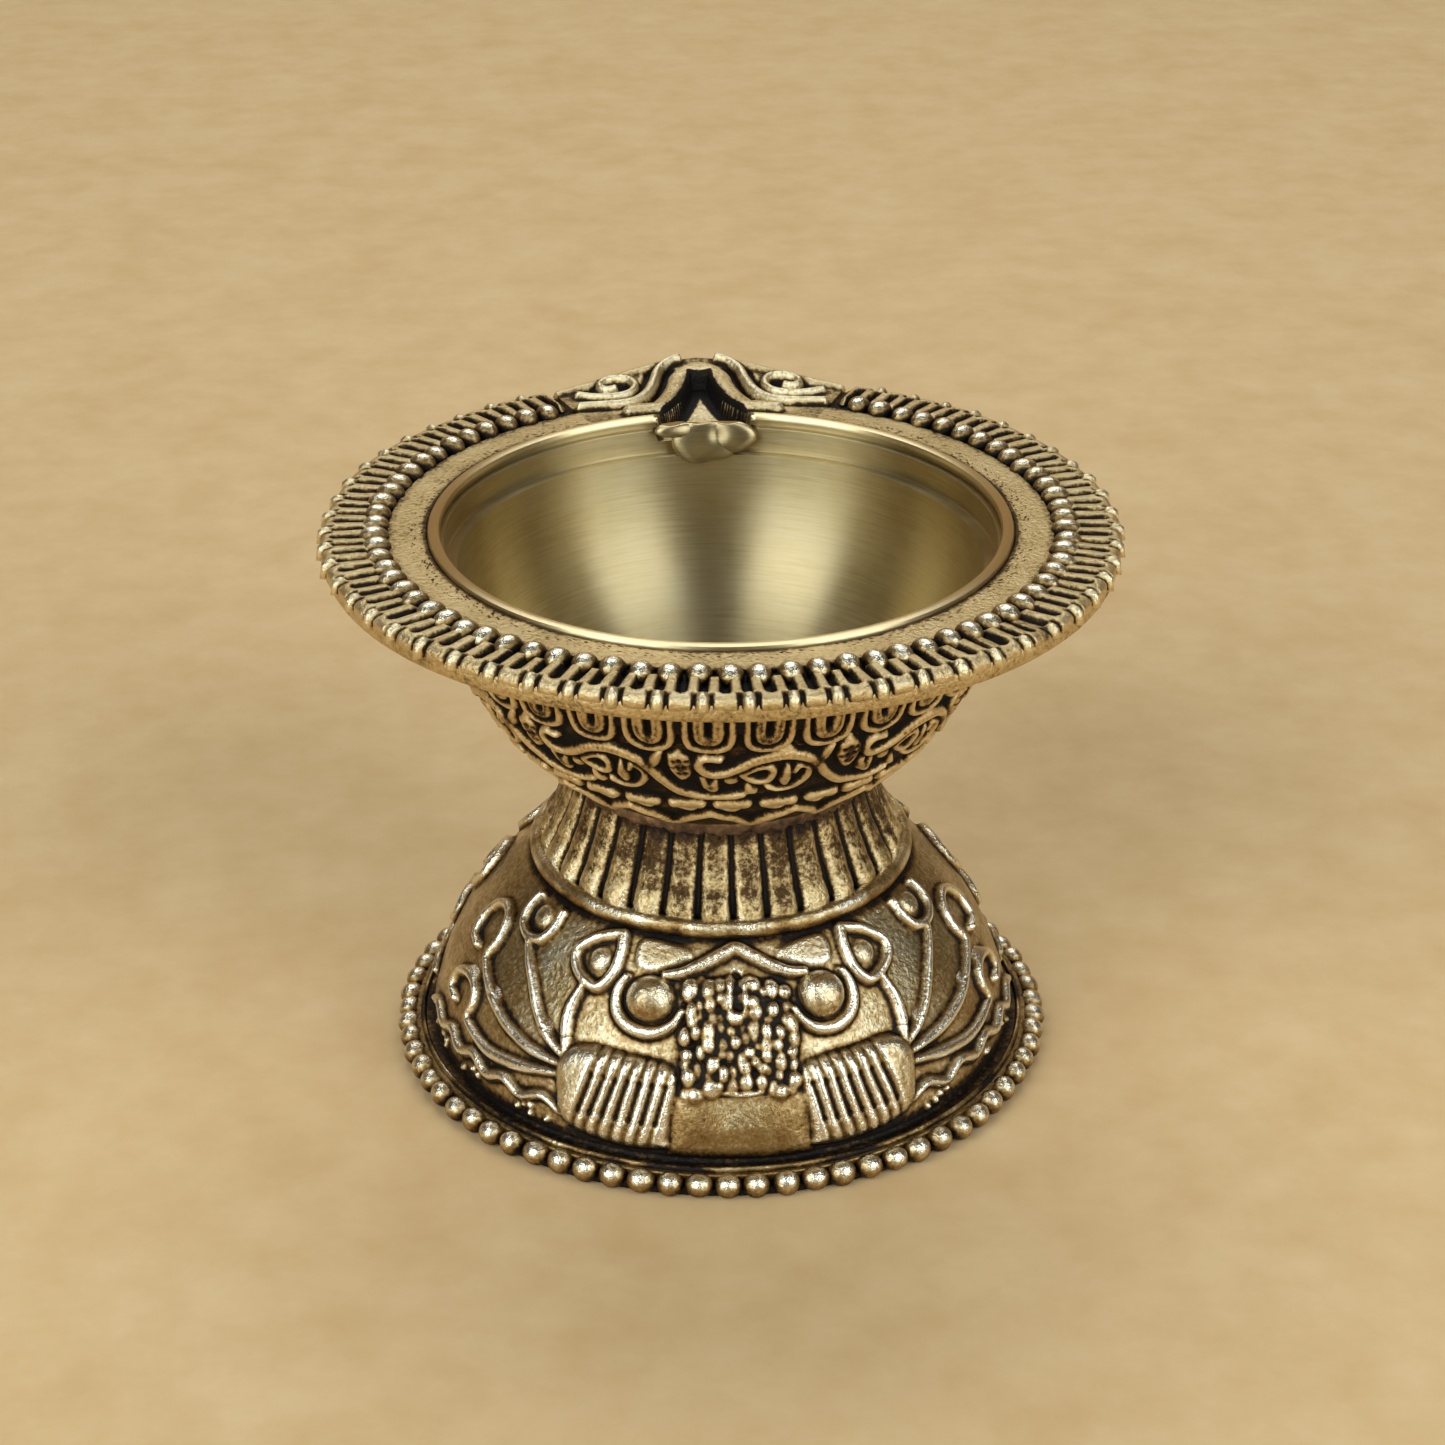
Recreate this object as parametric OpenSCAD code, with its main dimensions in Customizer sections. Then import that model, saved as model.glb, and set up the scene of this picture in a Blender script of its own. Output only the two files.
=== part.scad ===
// Footed brass oil lamp (diya): a round bowl with a beaded rim and a wick spout,
// a fluted neck, and a domed foot with applied ornament.
// The lamp stands on z = 0, its axis is Z, and the spout points along +Y.
// Angles of ornament are measured from the front, which is -Y, and grow towards +X.

/* [Foot] */
// Height of the crown that carries the neck
foot_h = 18.8; // [15:0.1:24]
// Radius of the flat crown
crown_r = 17.4; // [16.6:0.1:20]
// Radius of the dome where it meets the base plate
foot_r = 27.2; // [25:0.1:30]
// Height at which the dome meets the base plate
base_h = 2.4; // [2:0.1:3.6]
// Wall of the hollow foot
foot_wall = 2; // [1.2:0.1:2.6]
// Thickness of the ledge under the base beads
ledge_h = 0.9; // [0.6:0.05:1.4]
// Diameter of one base bead
foot_bead_d = 2.45; // [1.8:0.05:2.8]
// Space between two base beads
foot_bead_gap = 0.17; // [0.1:0.01:1]

/* [Neck] */
// Height of the fluted collar above the crown
collar_h = 9.4; // [7:0.1:14]
// Radius of the collar's core at its foot
collar_r = 16; // [15:0.1:16.4]
// Radius at which the bowl sits in the collar
neck_r = 12.9; // [11:0.1:14]
// Width of one flute at the collar's foot
flute_w = 2.5; // [1.8:0.05:2.8]
// Space between two flutes at the collar's foot
flute_gap = 0.5; // [0.3:0.05:1.2]
// Thickness of the ring around the collar's foot
ring_d = 2.2; // [1.6:0.05:2.6]
// Diameter of the spigot that ties the bowl to the foot
spigot_d = 10; // [6:0.1:14]
// Clearance around the spigot
spigot_fit = 0.1; // [0.05:0.01:0.3]
// Width of the braze bead under the bowl
braze_w = 1.1; // [0.7:0.05:1.4]

/* [Bowl] */
// Outside radius of the bowl
bowl_r = 25; // [22:0.1:28]
// Wall of the bowl
bowl_wall = 1.6; // [1.2:0.05:2.4]
// Wall of the lip
lip_wall = 1.1; // [0.9:0.05:1.6]
// Radial step from the bowl to the outside of the lip
lip_step = 0.8; // [0.6:0.05:1.2]
// Height of the lip above the flat of the rim
lip_rise = 0.8; // [0.4:0.05:1.4]
// Height of the turned band below the lip
band_h = 2.4; // [1.6:0.1:3.4]

/* [Rim] */
// Radius of the rim
rim_r = 35; // [33.6:0.1:40]
// Height of the rim's flat above the bowl's centre
rim_rise = 1.6; // [0.8:0.1:2.6]
// Height of the rim flange at its bore
flange_h = 5; // [4:0.1:6]
// Height of the rim's outer edge
edge_h = 2.1; // [1.6:0.1:2.8]
// Clearance between the flange and the lip
lip_fit = 0.06; // [0.03:0.01:0.2]
// Width of the plain band around the lip
plain_w = 3.5; // [2.6:0.1:4.4]
// Depth of the fringe below the plain band
fringe_depth = 0.35; // [0.2:0.05:0.7]
// Diameter of one rim bead
rim_bead_d = 2.05; // [1.6:0.05:2.3]
// Space between two rim beads
rim_bead_gap = 0.34; // [0.1:0.01:1]
// Width of one wire of the fringe
fringe_wire = 0.85; // [0.6:0.05:1]
// Height of the fringe
fringe_h = 0.9; // [0.6:0.05:1.4]

/* [Spout] */
// Half the angle that the spout takes from the rim
spout_half = 26; // [22:1:32]
// Reach of the spout's point past the rim
spout_reach = 2; // [1:0.1:3.5]
// Width of the wick channel at the bowl
channel_w = 8.1; // [5:0.1:9]
// Depth of the wick channel below the plain band
channel_depth = 2; // [1.2:0.1:2.8]
// Depth of the wick channel at the spout's point
channel_end = 0.9; // [0.5:0.1:1.1]
// Height of the spout's ribs and scrolls
scroll_h = 0.9; // [0.6:0.05:1.4]

/* [Ornament] */
// Height of the relief on the bowl
bowl_relief = 0.7; // [0.4:0.05:1]
// Height of the relief on the foot
foot_relief = 0.8; // [0.5:0.05:1.2]
// Width of the vine and feather wires
wire_w = 0.85; // [0.6:0.05:1.1]
// Diameter of the two balls of each face of the foot
ball_d = 4.2; // [3:0.1:4.6]
// Arches around the bowl
arches = 30; // [24:1:32]
// Repeats of the vine around the bowl
vines = 10; // [8:1:10]
// Lotus petals around the bowl
petals = 16; // [12:1:18]

/* [Hidden] */
$fn = 72;
// Facets of the two large balls that carry the ornament
ball_fn = 240;
eps = 0.01;
far = 100;

// The dome of the foot is part of a ball
dome_z = (pow(crown_r, 2) + pow(foot_h, 2) - pow(foot_r, 2) - pow(base_h, 2)) / (2 * (foot_h - base_h));
dome_r = norm([foot_r, base_h - dome_z]);
crown_lat = asin((foot_h - dome_z) / dome_r);
base_lat = asin((base_h - dome_z) / dome_r);

// Base plate, from the dome outwards
groove_depth = 0.6;
groove_z = base_h - groove_depth;
wire_r = foot_r + 1;
wire_base = 0.6;
wire_h = 0.5;
wire_shelf = 0.4;
bead_seat_r = wire_r + wire_base / 2 + wire_shelf;
foot_ring_r = bead_seat_r + foot_bead_d / 2;
plate_lip = 0.3;
plate_r = foot_ring_r + plate_lip;
// Height of a bead's centre above its seat
bead_seat = 0.45;
foot_bead_z = ledge_h + bead_seat;
foot_bead_n = floor(2 * PI * foot_ring_r / (foot_bead_d + foot_bead_gap));

// Neck
collar_top = foot_h + collar_h;
ring_r = crown_r - 0.1;
ring_z = foot_h + ring_d * 0.32;
flute_low = ring_z + ring_d / 2 + 0.3;
collar_taper = (collar_r - neck_r) / collar_h;
flute_r = collar_r - (flute_low - foot_h) * collar_taper;
flute_n = floor(2 * PI * flute_r / (flute_w + flute_gap));
spigot_low = foot_h - foot_wall;
bore_r = spigot_d / 2 + spigot_fit;

// Bowl
bowl_z = collar_top + sqrt(pow(bowl_r, 2) - pow(neck_r, 2));
neck_lat = -acos(neck_r / bowl_r);
inner_r = bowl_r - bowl_wall;
rim_z = bowl_z + rim_rise;
seat_z = rim_z - flange_h;
belt_h = 0.8;
lip_r = bowl_r + lip_step;
belt_w = 0.7;
belt_r = lip_r + belt_w;
lip_top = rim_z + lip_rise;
lip_in = lip_r - lip_wall;
lip_h = 1;
undercut = 0.3;
undercut_h = 0.6;
band_top = lip_top - lip_h - undercut_h;
band_r = lip_in - undercut;

// Rim
bore_lip = lip_r + lip_fit;
plain_r = bore_lip + plain_w;
floor_z = rim_z - fringe_depth;
// Clearance between the pieces that stand on the rim
rim_fit = 0.05;
rim_ring_r = plain_r + rim_fit + rim_bead_d / 2;
rim_bead_z = floor_z + bead_seat;
rim_bead_n = floor(2 * PI * rim_ring_r / (rim_bead_d + rim_bead_gap));
fringe_in = rim_ring_r + rim_bead_d / 2 + rim_fit;
loop_w = 3 * fringe_wire;
// Space between two loops of the fringe, besides one wire's width
loop_gap = 0.13;
loop_n = floor(2 * PI * (rim_r - loop_w / 2) / (loop_w + fringe_wire + loop_gap));
rim_top = floor_z + fringe_h;
under_z = rim_top - edge_h;
edge_bevel = 0.5;
// Flat and rise of the flange's underside next to the bowl
under_w = 2.5;
under_rise = 0.6;

// Spout
tip_r = rim_r + spout_reach;
channel_stop = 0.4;
channel_tip = rim_r - channel_stop;
channel_lead = 3;

// Plan and line helpers

function unit(v) = v / norm(v);

// A smooth line through the points of p, with n steps between two of them
function smooth_line(p, n = 4) = concat(
    [for (i = [0 : len(p) - 2])
        let (a = p[max(i - 1, 0)], b = p[i], c = p[i + 1], d = p[min(i + 2, len(p) - 1)])
        for (k = [0 : n - 1])
            let (t = k / n)
            0.5 * (2 * b + (c - a) * t + (2 * a - 5 * b + 4 * c - d) * t * t
                + (3 * b - a - 3 * c + d) * t * t * t)],
    [p[len(p) - 1]]);

function heading(p, i) = unit(p[min(i + 1, len(p) - 1)] - p[max(i - 1, 0)]);
function beside(p, i, off) = let (t = heading(p, i)) p[i] + off * [-t[1], t[0]];

// A wire seen from above: width w, drawn in to the share tip at both ends
module stroke(p, w, tip = 0.6) {
    last = len(p) - 1;
    half = [for (i = [0 : last]) w / 2 * (tip + (1 - tip) * sin(180 * i / last))];
    polygon(concat(
        [for (i = [0 : last]) beside(p, i, half[i])],
        [for (i = [last : -1 : 0]) beside(p, i, -half[i])]));
}

// A closed wire seen from above, whose first and last points join
module loop_stroke(p, w) {
    n = len(p);
    turn = [for (i = [0 : n - 1]) unit(p[(i + 1) % n] - p[(i + n - 1) % n])];
    difference() {
        polygon([for (i = [0 : n - 1]) p[i] + w / 2 * [-turn[i][1], turn[i][0]]]);
        polygon([for (i = [0 : n - 1]) p[i] - w / 2 * [-turn[i][1], turn[i][0]]]);
    }
}

// A point at angle a and latitude lat of a ball, seen along the ball's radius at a0, lat0
function seen(a, lat, a0, lat0, r) =
    r * [cos(lat) * sin(a - a0), cos(lat0) * sin(lat) - sin(lat0) * cos(lat) * cos(a - a0)];

// Places children on a ball, with their Z along its radius at angle a and latitude lat
module on_ball(z, a, lat) {
    translate([0, 0, z]) rotate([0, 0, a]) rotate([90 - lat, 0, 0]) children();
}

// A flat drawing raised by h from a ball of radius r
module raised(r, h) {
    difference() {
        intersection() {
            translate([0, 0, r * 0.6]) linear_extrude(r) children();
            sphere(r + h, $fn = ball_fn);
        }
        sphere(r, $fn = ball_fn);
    }
}

// Repeats children n times around the axis
module around(n, start = 0) {
    for (i = [0 : n - 1]) rotate([0, 0, start + i * 360 / n]) children();
}

// Foot

// Degrees and rows of one face of the foot; row 0 is at the crown, the last at the base plate
foot_face = [180, 19.5];
function foot_lat(row) = crown_lat - (crown_lat - base_lat) * row / foot_face[1];
// Places of the foot's drawing, each [angle, row], seen from the place at
function on_foot(p, at) =
    [for (q = p) seen(q[0], foot_lat(q[1]), at[0], foot_lat(at[1]), dome_r)];
module at_foot(at) {
    on_ball(dome_z, at[0], foot_lat(at[1])) children();
}

// Draws children for both faces of the foot
module both_faces() {
    for (face = [0, foot_face[0]]) rotate([0, 0, face]) children();
}

// Draws children for both faces of the foot and both sides of each face
module four_sides() {
    both_faces() {
        children();
        mirror([1, 0, 0]) children();
    }
}

module dome_ball() {
    intersection() {
        translate([0, 0, dome_z]) sphere(dome_r, $fn = ball_fn);
        translate([0, 0, groove_z]) cylinder(r = far, h = foot_h - groove_z);
    }
}

module foot_shell() color("darkgoldenrod") {
    difference() {
        union() {
            dome_ball();
            rotate_extrude() polygon([
                [0, 0], [plate_r, 0], [plate_r, ledge_h], [bead_seat_r, ledge_h],
                [bead_seat_r, groove_z], [0, groove_z]]);
        }
        intersection() {
            translate([0, 0, dome_z]) sphere(dome_r - foot_wall, $fn = ball_fn);
            translate([0, 0, -far]) cylinder(r = far, h = far + foot_h - foot_wall);
        }
        cylinder(r = bore_r, h = far);
    }
}

module base_wire() color("goldenrod") {
    rotate_extrude() polygon([
        [wire_r - wire_base / 2, groove_z], [wire_r + wire_base / 2, groove_z],
        [wire_r + wire_base / 4, groove_z + wire_h], [wire_r - wire_base / 4, groove_z + wire_h]]);
}

module foot_beads() color("gold") {
    around(foot_bead_n, 180 / foot_bead_n) difference() {
        translate([0, -foot_ring_r, foot_bead_z]) sphere(d = foot_bead_d, $fn = 32);
        cylinder(r = plate_r, h = ledge_h);
    }
}

module foot_brows() color("gold") {
    at = [0, 2.5];
    arm = [[4, 1.5], [9, 2.5], [13.5, 3.3], [17.5, 3.6]];
    line = concat([for (i = [len(arm) - 1 : -1 : 0]) [-arm[i][0], arm[i][1]]], [[0, 0.9]], arm);
    both_faces() at_foot(at) raised(dome_r, foot_relief) stroke(smooth_line(on_foot(line, at)), wire_w);
}

ball_at = [20.4, 5.9];
ball_rise = ball_d * 0.12;
module foot_balls() color("gold") {
    four_sides() at_foot(ball_at) difference() {
        translate([0, 0, dome_r + ball_rise]) sphere(d = ball_d);
        sphere(dome_r, $fn = ball_fn);
    }
}

module ball_crescents() color("gold") {
    gap = 0.15;
    width = wire_w * 1.2;
    reach = ball_d / 2 + gap + width / 2;
    line = [for (t = [10 : -20 : -190]) reach * [cos(t + 20), sin(t + 20)]];
    four_sides() at_foot(ball_at) difference() {
        raised(dome_r, foot_relief) stroke(line, width, 0.4);
        translate([0, 0, dome_r + ball_rise]) sphere(d = ball_d + 2 * gap);
    }
}

pebble_d = 1.3;
pebble_rows = 7;
pebble_cols = 3;
// The first pebble, the step to the next column and the step to the next row
pebble_at = [2.4, 4.6];
pebble_col = [3.9, 0.35];
pebble_row = [0, 1.3];
module foot_pebbles() color("khaki") {
    four_sides() for (row = [0 : pebble_rows - 1], col = [0 : pebble_cols - 1]) {
        shift = [(row % 2) * 0.5, 0];
        at_foot(pebble_at + col * pebble_col + row * pebble_row - shift) difference() {
            translate([0, 0, dome_r]) sphere(d = pebble_d, $fn = 24);
            sphere(dome_r, $fn = ball_fn);
        }
    }
}

// Rows of a sheaf's two ends, and its middle
sheaf_ends = [11.4, 18.6];
sheaf_at = [24.3, (sheaf_ends[0] + sheaf_ends[1]) / 2];
sheaf_ribs = 8;
sheaf_pitch = 2.85;
sheaf_h = 1.2;
rib_gap = 0.3;
module foot_sheaves() color("goldenrod") {
    half_l = dome_r * sin((foot_lat(sheaf_ends[0]) - foot_lat(sheaf_ends[1])) / 2);
    step = dome_r * cos(foot_lat(sheaf_at[1])) * sin(sheaf_pitch);
    rib_w = step - rib_gap;
    four_sides() at_foot(sheaf_at) raised(dome_r, sheaf_h)
        for (i = [0 : sheaf_ribs - 1]) translate([(i + 0.5 - sheaf_ribs / 2) * step, 0]) {
            translate([-rib_w / 2, rib_w / 2 - half_l]) square([rib_w, 2 * half_l - rib_w]);
            for (y = [-1, 1]) translate([0, y * (half_l - rib_w / 2)]) circle(d = rib_w, $fn = 24);
        }
}

module foot_panels() color("darkgoldenrod") {
    at = [0, 16];
    corners = [[-11.8, 14.3], [-6, 13.9], [0, 13.8], [6, 13.9], [11.8, 14.3], [11.8, 18.6], [-11.8, 18.6]];
    both_faces() at_foot(at) raised(dome_r, foot_relief * 0.8) polygon(on_foot(corners, at));
}

// Feathers fan out from one root on each side of a face
feather_at = [55, 8];
drop_line = [
    [31.6, 0.9], [36, 1.3], [40, 2.2], [42.4, 3.4], [41, 4.6],
    [37, 5.5], [33.5, 5.7], [30.8, 4.3], [30.6, 2.4]];
eye_lines = [
    [[53.4, 1.2], [53.4, 2.6], [55.4, 4], [59.5, 4.4], [63.6, 3.8], [65.4, 2.4], [65.2, 1.2]],
    [[68.5, 8.2], [67.6, 6.4], [69.6, 4.8], [73.6, 4.2], [78, 4.8], [80.2, 6.6], [78.6, 8.4], [74.8, 8.8]],
    [[66.2, 14.2], [65.6, 12.6], [67.8, 11.4], [72, 11.2], [76, 12], [76.6, 13.6], [73.4, 14.2]]];
stem_lines = [
    [[37, 6.3], [38.2, 8.3], [37.6, 10.2], [36.4, 11.6]],
    [[57, 5.2], [51.6, 7.4], [46.4, 9.6], [41.4, 11.3], [37.4, 12.3]],
    [[67.8, 8.9], [62.4, 10.5], [55.4, 11.9], [46.4, 12.9], [38, 13.2]],
    [[64.6, 14.7], [56.4, 15.4], [47.4, 14.9], [38.6, 14]]];
stud_places = [[35.6, 3.4], [59.4, 2.2]];
stud_d = 2.4;

module feather_drawing(lines, w) {
    for (line = lines) stroke(smooth_line(on_foot(line, feather_at)), w, 0.75);
}

module feather_eyes() color("gold") {
    four_sides() at_foot(feather_at) raised(dome_r, foot_relief) {
        loop_stroke(on_foot(drop_line, feather_at), wire_w);
        feather_drawing(eye_lines, wire_w);
    }
}

module feather_stems() color("gold") {
    four_sides() at_foot(feather_at) raised(dome_r, foot_relief) feather_drawing(stem_lines, wire_w);
}

module eye_studs() color("khaki") {
    four_sides() for (at = stud_places) at_foot(at) difference() {
        translate([0, 0, dome_r - stud_d / 6]) sphere(d = stud_d, $fn = 32);
        sphere(dome_r, $fn = ball_fn);
    }
}

module foot_ruffles() color("goldenrod") {
    at = [60, 17];
    wave = [5, 0.5];
    waves = 4;
    line = [for (i = [-waves : waves]) at + [wave[0] * i, i % 2 == 0 ? -wave[1] : wave[1]]];
    four_sides() at_foot(at) raised(dome_r, foot_relief) stroke(smooth_line(on_foot(line, at)), wire_w);
}

// Neck

module collar_core() {
    translate([0, 0, foot_h]) cylinder(r1 = collar_r, r2 = neck_r, h = collar_h);
}

module neck_collar() color("goldenrod") {
    lean = atan(collar_taper);
    flute_l = (collar_top - flute_low) / cos(lean) + flute_w;
    difference() {
        union() {
            collar_core();
            around(flute_n, 180 / flute_n) intersection() {
                translate([0, -flute_r, flute_low]) {
                    rotate([-lean, 0, 0])
                        cylinder(d1 = flute_w, d2 = flute_w * neck_r / collar_r, h = flute_l, $fn = 32);
                    sphere(d = flute_w, $fn = 32);
                }
                translate([0, 0, foot_h]) cylinder(r = far, h = collar_h);
            }
        }
        translate([0, 0, bowl_z]) sphere(bowl_r, $fn = ball_fn);
        cylinder(r = bore_r, h = far);
    }
}

module neck_ring() color("gold") {
    difference() {
        rotate_extrude() translate([ring_r, ring_z]) circle(d = ring_d);
        dome_ball();
        collar_core();
    }
}

module neck_braze() color("rosybrown") {
    difference() {
        translate([0, 0, collar_top])
            cylinder(r1 = neck_r + braze_w, r2 = neck_r + braze_w * 1.1, h = braze_w, $fn = ball_fn);
        translate([0, 0, bowl_z]) sphere(bowl_r, $fn = ball_fn);
    }
}

// Bowl

// Degrees and rows of the bowl's drawing; row 0 is at its widest line, the last at the neck
bowl_face = [360, 25.7];
function bowl_lat(row) = neck_lat * row / bowl_face[1];
// Places of the bowl's drawing, each [angle, row], seen from the place at
function on_bowl(p, at) =
    [for (q = p) seen(q[0], bowl_lat(q[1]), at[0], bowl_lat(at[1]), bowl_r)];
module at_bowl(at) {
    on_ball(bowl_z, at[0], bowl_lat(at[1])) children();
}

module bowl_cavity() {
    translate([0, 0, bowl_z]) intersection() {
        sphere(inner_r, $fn = ball_fn);
        translate([0, 0, -far]) cylinder(r = far, h = far + band_top - band_h - bowl_z + eps);
    }
    translate([0, 0, band_top - band_h]) cylinder(r = band_r, h = band_h + eps);
    translate([0, 0, band_top]) cylinder(r = lip_in + undercut, h = undercut_h);
    translate([0, 0, band_top + undercut_h - eps]) cylinder(r = lip_in, h = far);
}

// Half-width of the wick channel at the share t of its length, from the bowl outwards
function channel_half(t) = channel_w / 2 * (1 - 1.15 * t + 0.35 * t * t);
function channel_y(t) = lip_in + (channel_tip - lip_in) * t;

// The wick channel: widest at the bowl, and rising to a narrow end near the spout's point
module wick_channel() {
    slope = atan((channel_depth - channel_end) / (channel_tip - lip_in));
    intersection() {
        translate([0, 0, rim_z - far]) linear_extrude(2 * far) polygon(concat(
            [[-channel_w / 2, lip_in - channel_lead]],
            [for (t = [0 : 0.1 : 1.01]) [-channel_half(t), channel_y(t)]],
            [for (t = [1 : -0.1 : -0.01]) [channel_half(t), channel_y(t)]],
            [[channel_w / 2, lip_in - channel_lead]]));
        translate([0, lip_in, rim_z - channel_depth]) rotate([slope, 0, 0])
            translate([-far, -far, 0]) cube(2 * far);
    }
}

module bowl_cup() color("darkkhaki") {
    difference() {
        union() {
            translate([0, 0, bowl_z]) intersection() {
                sphere(bowl_r, $fn = ball_fn);
                translate([0, 0, -far]) cylinder(r = far, h = far);
            }
            translate([0, 0, seat_z - belt_h]) cylinder(r = belt_r, h = belt_h);
            translate([0, 0, seat_z - eps]) cylinder(r = lip_r, h = lip_top - seat_z + eps);
            translate([0, 0, spigot_low]) cylinder(d = spigot_d, h = bowl_z - inner_r - spigot_low);
        }
        bowl_cavity();
        wick_channel();
    }
}

// A tongue of half-width hw from y0 down to y1, with rounded lower corners
module tongue(hw, y0, y1) {
    corner = min(arch_corner, hw);
    polygon(concat(
        [[-hw, y0]],
        [for (t = [180 : 30 : 270]) [corner - hw, y1 + corner] + corner * [cos(t), sin(t)]],
        [for (t = [270 : 30 : 360]) [hw - corner + eps, y1 + corner] + corner * [cos(t), sin(t)]],
        [[hw + eps, y0]]));
}

arch_corner = 1.3;
// Rows of an arch's open end and of its bend, and its middle
arch_ends = [4.4, 8.6];
arch_at = [0, 6.4];
module bowl_arches() color("goldenrod") {
    top = on_bowl([[0, arch_ends[0]]], arch_at)[0][1];
    bottom = on_bowl([[0, arch_ends[1]]], arch_at)[0][1];
    half = bowl_r * cos(bowl_lat(arch_at[1])) * sin(180 / arches);
    around(arches, 180 / arches) at_bowl(arch_at) raised(bowl_r, bowl_relief) {
        difference() {
            tongue(half * 0.9, top, bottom);
            tongue(half * 0.7, top + eps, bottom + half * 0.2);
        }
        difference() {
            tongue(half * 0.5, top, bottom + half * 0.3);
            tongue(half * 0.2, top + eps, bottom + half * 0.6);
        }
    }
}

vine_at = [12, 11.8];
vine_turn = -3.7;
module vine_drawing(line, w) {
    stroke(smooth_line(on_bowl(line, vine_at)), w, 0.7);
}

module on_vines() {
    around(vines, vine_turn) at_bowl(vine_at) raised(bowl_r, bowl_relief) children();
}

vine_line = [
    [0, 9.6], [-3, 9.5], [-4.4, 10.4], [-2.6, 11.4], [0.6, 11.5], [4, 10.9], [8, 9.9], [13, 9.5], [17.4, 10],
    [20.4, 11], [23.4, 12.7], [26.6, 14], [30, 14.7]];
bud_loop = [[4.8, 11.9], [7, 11.2], [9.6, 10.9], [11.2, 11.6], [10.6, 12.7], [8.6, 13], [6.4, 12.6]];
calyx_line = [[10.6, 14], [13.4, 14.5], [16.8, 14.1], [19.2, 12.9], [19, 11.6], [16.9, 11.1]];
module bowl_vine() color("goldenrod") {
    on_vines() vine_drawing(vine_line, wire_w);
}

module bowl_buds() color("gold") {
    petal = [[13.4, 13.5], [12.9, 12.6], [14.6, 11.3], [15.4, 12.6], [14.8, 13.5]];
    on_vines() {
        loop_stroke(on_bowl(bud_loop, vine_at), wire_w * 0.7);
        vine_drawing(calyx_line, wire_w * 0.7);
        polygon(on_bowl(petal, vine_at));
    }
}

module bowl_leaves() color("goldenrod") {
    fan = [[25, 9.4], [27.6, 9.2], [29.4, 10.2], [29, 11.6], [26.6, 12.2], [25.2, 10.9]];
    barb = [[20.6, 10.2], [23.4, 8.9], [23, 10.3], [21.6, 10.8]];
    comma = [[-3.6, 12.4], [-2.4, 12.9], [-1.2, 13.4], [-0.6, 14.2], [-2.8, 13.9], [-3.8, 13.2]];
    thorn = [[3, 14.6], [5.4, 13.4], [7.4, 14.7]];
    on_vines() for (leaf = [fan, barb, comma, thorn]) polygon(on_bowl(leaf, vine_at));
}

dash_at = [-0.7, 16.9];
dash_h = 1.2;
module bowl_dashes() color("goldenrod") {
    n = 2 * petals;
    half = bowl_r * cos(bowl_lat(dash_at[1])) * sin(180 / n) * 0.78;
    around(n) at_bowl(dash_at) raised(bowl_r, bowl_relief) {
        translate([-half + dash_h / 2, -dash_h / 2]) square([2 * half - dash_h, dash_h]);
        for (x = [-1, 1]) translate([x * (half - dash_h / 2), 0]) circle(d = dash_h, $fn = 24);
    }
}

// The first petal's tip, and how far its middle and its shoulder lie above it, in rows
petal_tip = [5.1, 22];
petal_rise = [1.7, 3];
module bowl_petals() color("goldenrod") {
    half = 180 / petals - 0.5;
    arm = [[half * 0.5, -petal_rise[0]], [half, -petal_rise[1]]];
    line = concat([for (i = [1, 0]) [-arm[i][0], arm[i][1]]], [[0, 0]], arm);
    places = [for (p = line) petal_tip + p];
    around(petals) at_bowl(petal_tip) raised(bowl_r, bowl_relief)
        stroke(on_bowl(places, petal_tip), wire_w, 0.8);
}

// Rim

module rim_flange() color("goldenrod") {
    difference() {
        rotate_extrude() polygon([
            [bore_lip, seat_z], [belt_r, seat_z], [belt_r + under_w, seat_z + under_rise],
            [rim_r - edge_bevel, under_z], [rim_r, under_z + edge_bevel], [rim_r, floor_z],
            [plain_r, floor_z], [plain_r, rim_z], [bore_lip, rim_z]]);
        wick_channel();
    }
}

// True where angle a from the front is clear of the spout at the back
function clear_of_spout(a) = abs(abs((a + 180) % 360 - 180) - 180) > spout_half;

module rim_beads() color("gold") {
    for (i = [0 : rim_bead_n - 1])
        let (a = (i + 0.5) * 360 / rim_bead_n)
        if (clear_of_spout(a)) rotate([0, 0, a]) difference() {
            translate([0, -rim_ring_r, rim_bead_z]) sphere(d = rim_bead_d, $fn = 32);
            translate([0, 0, floor_z - far]) cylinder(r = far, h = far);
        }
}

// One loop of the fringe: a wire laid in a U with its bend at the rim's edge
module fringe_loop() {
    bar = rim_r - fringe_in - loop_w / 2;
    linear_extrude(fringe_h) translate([0, fringe_in]) difference() {
        union() {
            translate([-loop_w / 2, 0]) square([loop_w, bar]);
            translate([0, bar]) circle(d = loop_w, $fn = 32);
        }
        translate([-fringe_wire / 2, -eps]) square([fringe_wire, bar + eps]);
        translate([0, bar]) circle(d = fringe_wire, $fn = 32);
    }
}

module rim_fringe() color("goldenrod") {
    for (i = [0 : loop_n - 1])
        let (a = (i + 0.5) * 360 / loop_n)
        if (clear_of_spout(a)) rotate([0, 0, a + 180]) translate([0, 0, floor_z]) fringe_loop();
}

// Spout

// Outline of the spout's plate: the rim, drawn out to a point
function spout_edge(a) = rim_r + spout_reach * pow(max(0, 1 - abs(a) / (spout_half * 0.8)), 1.6);
spout_span = spout_half - 2.5;

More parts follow.
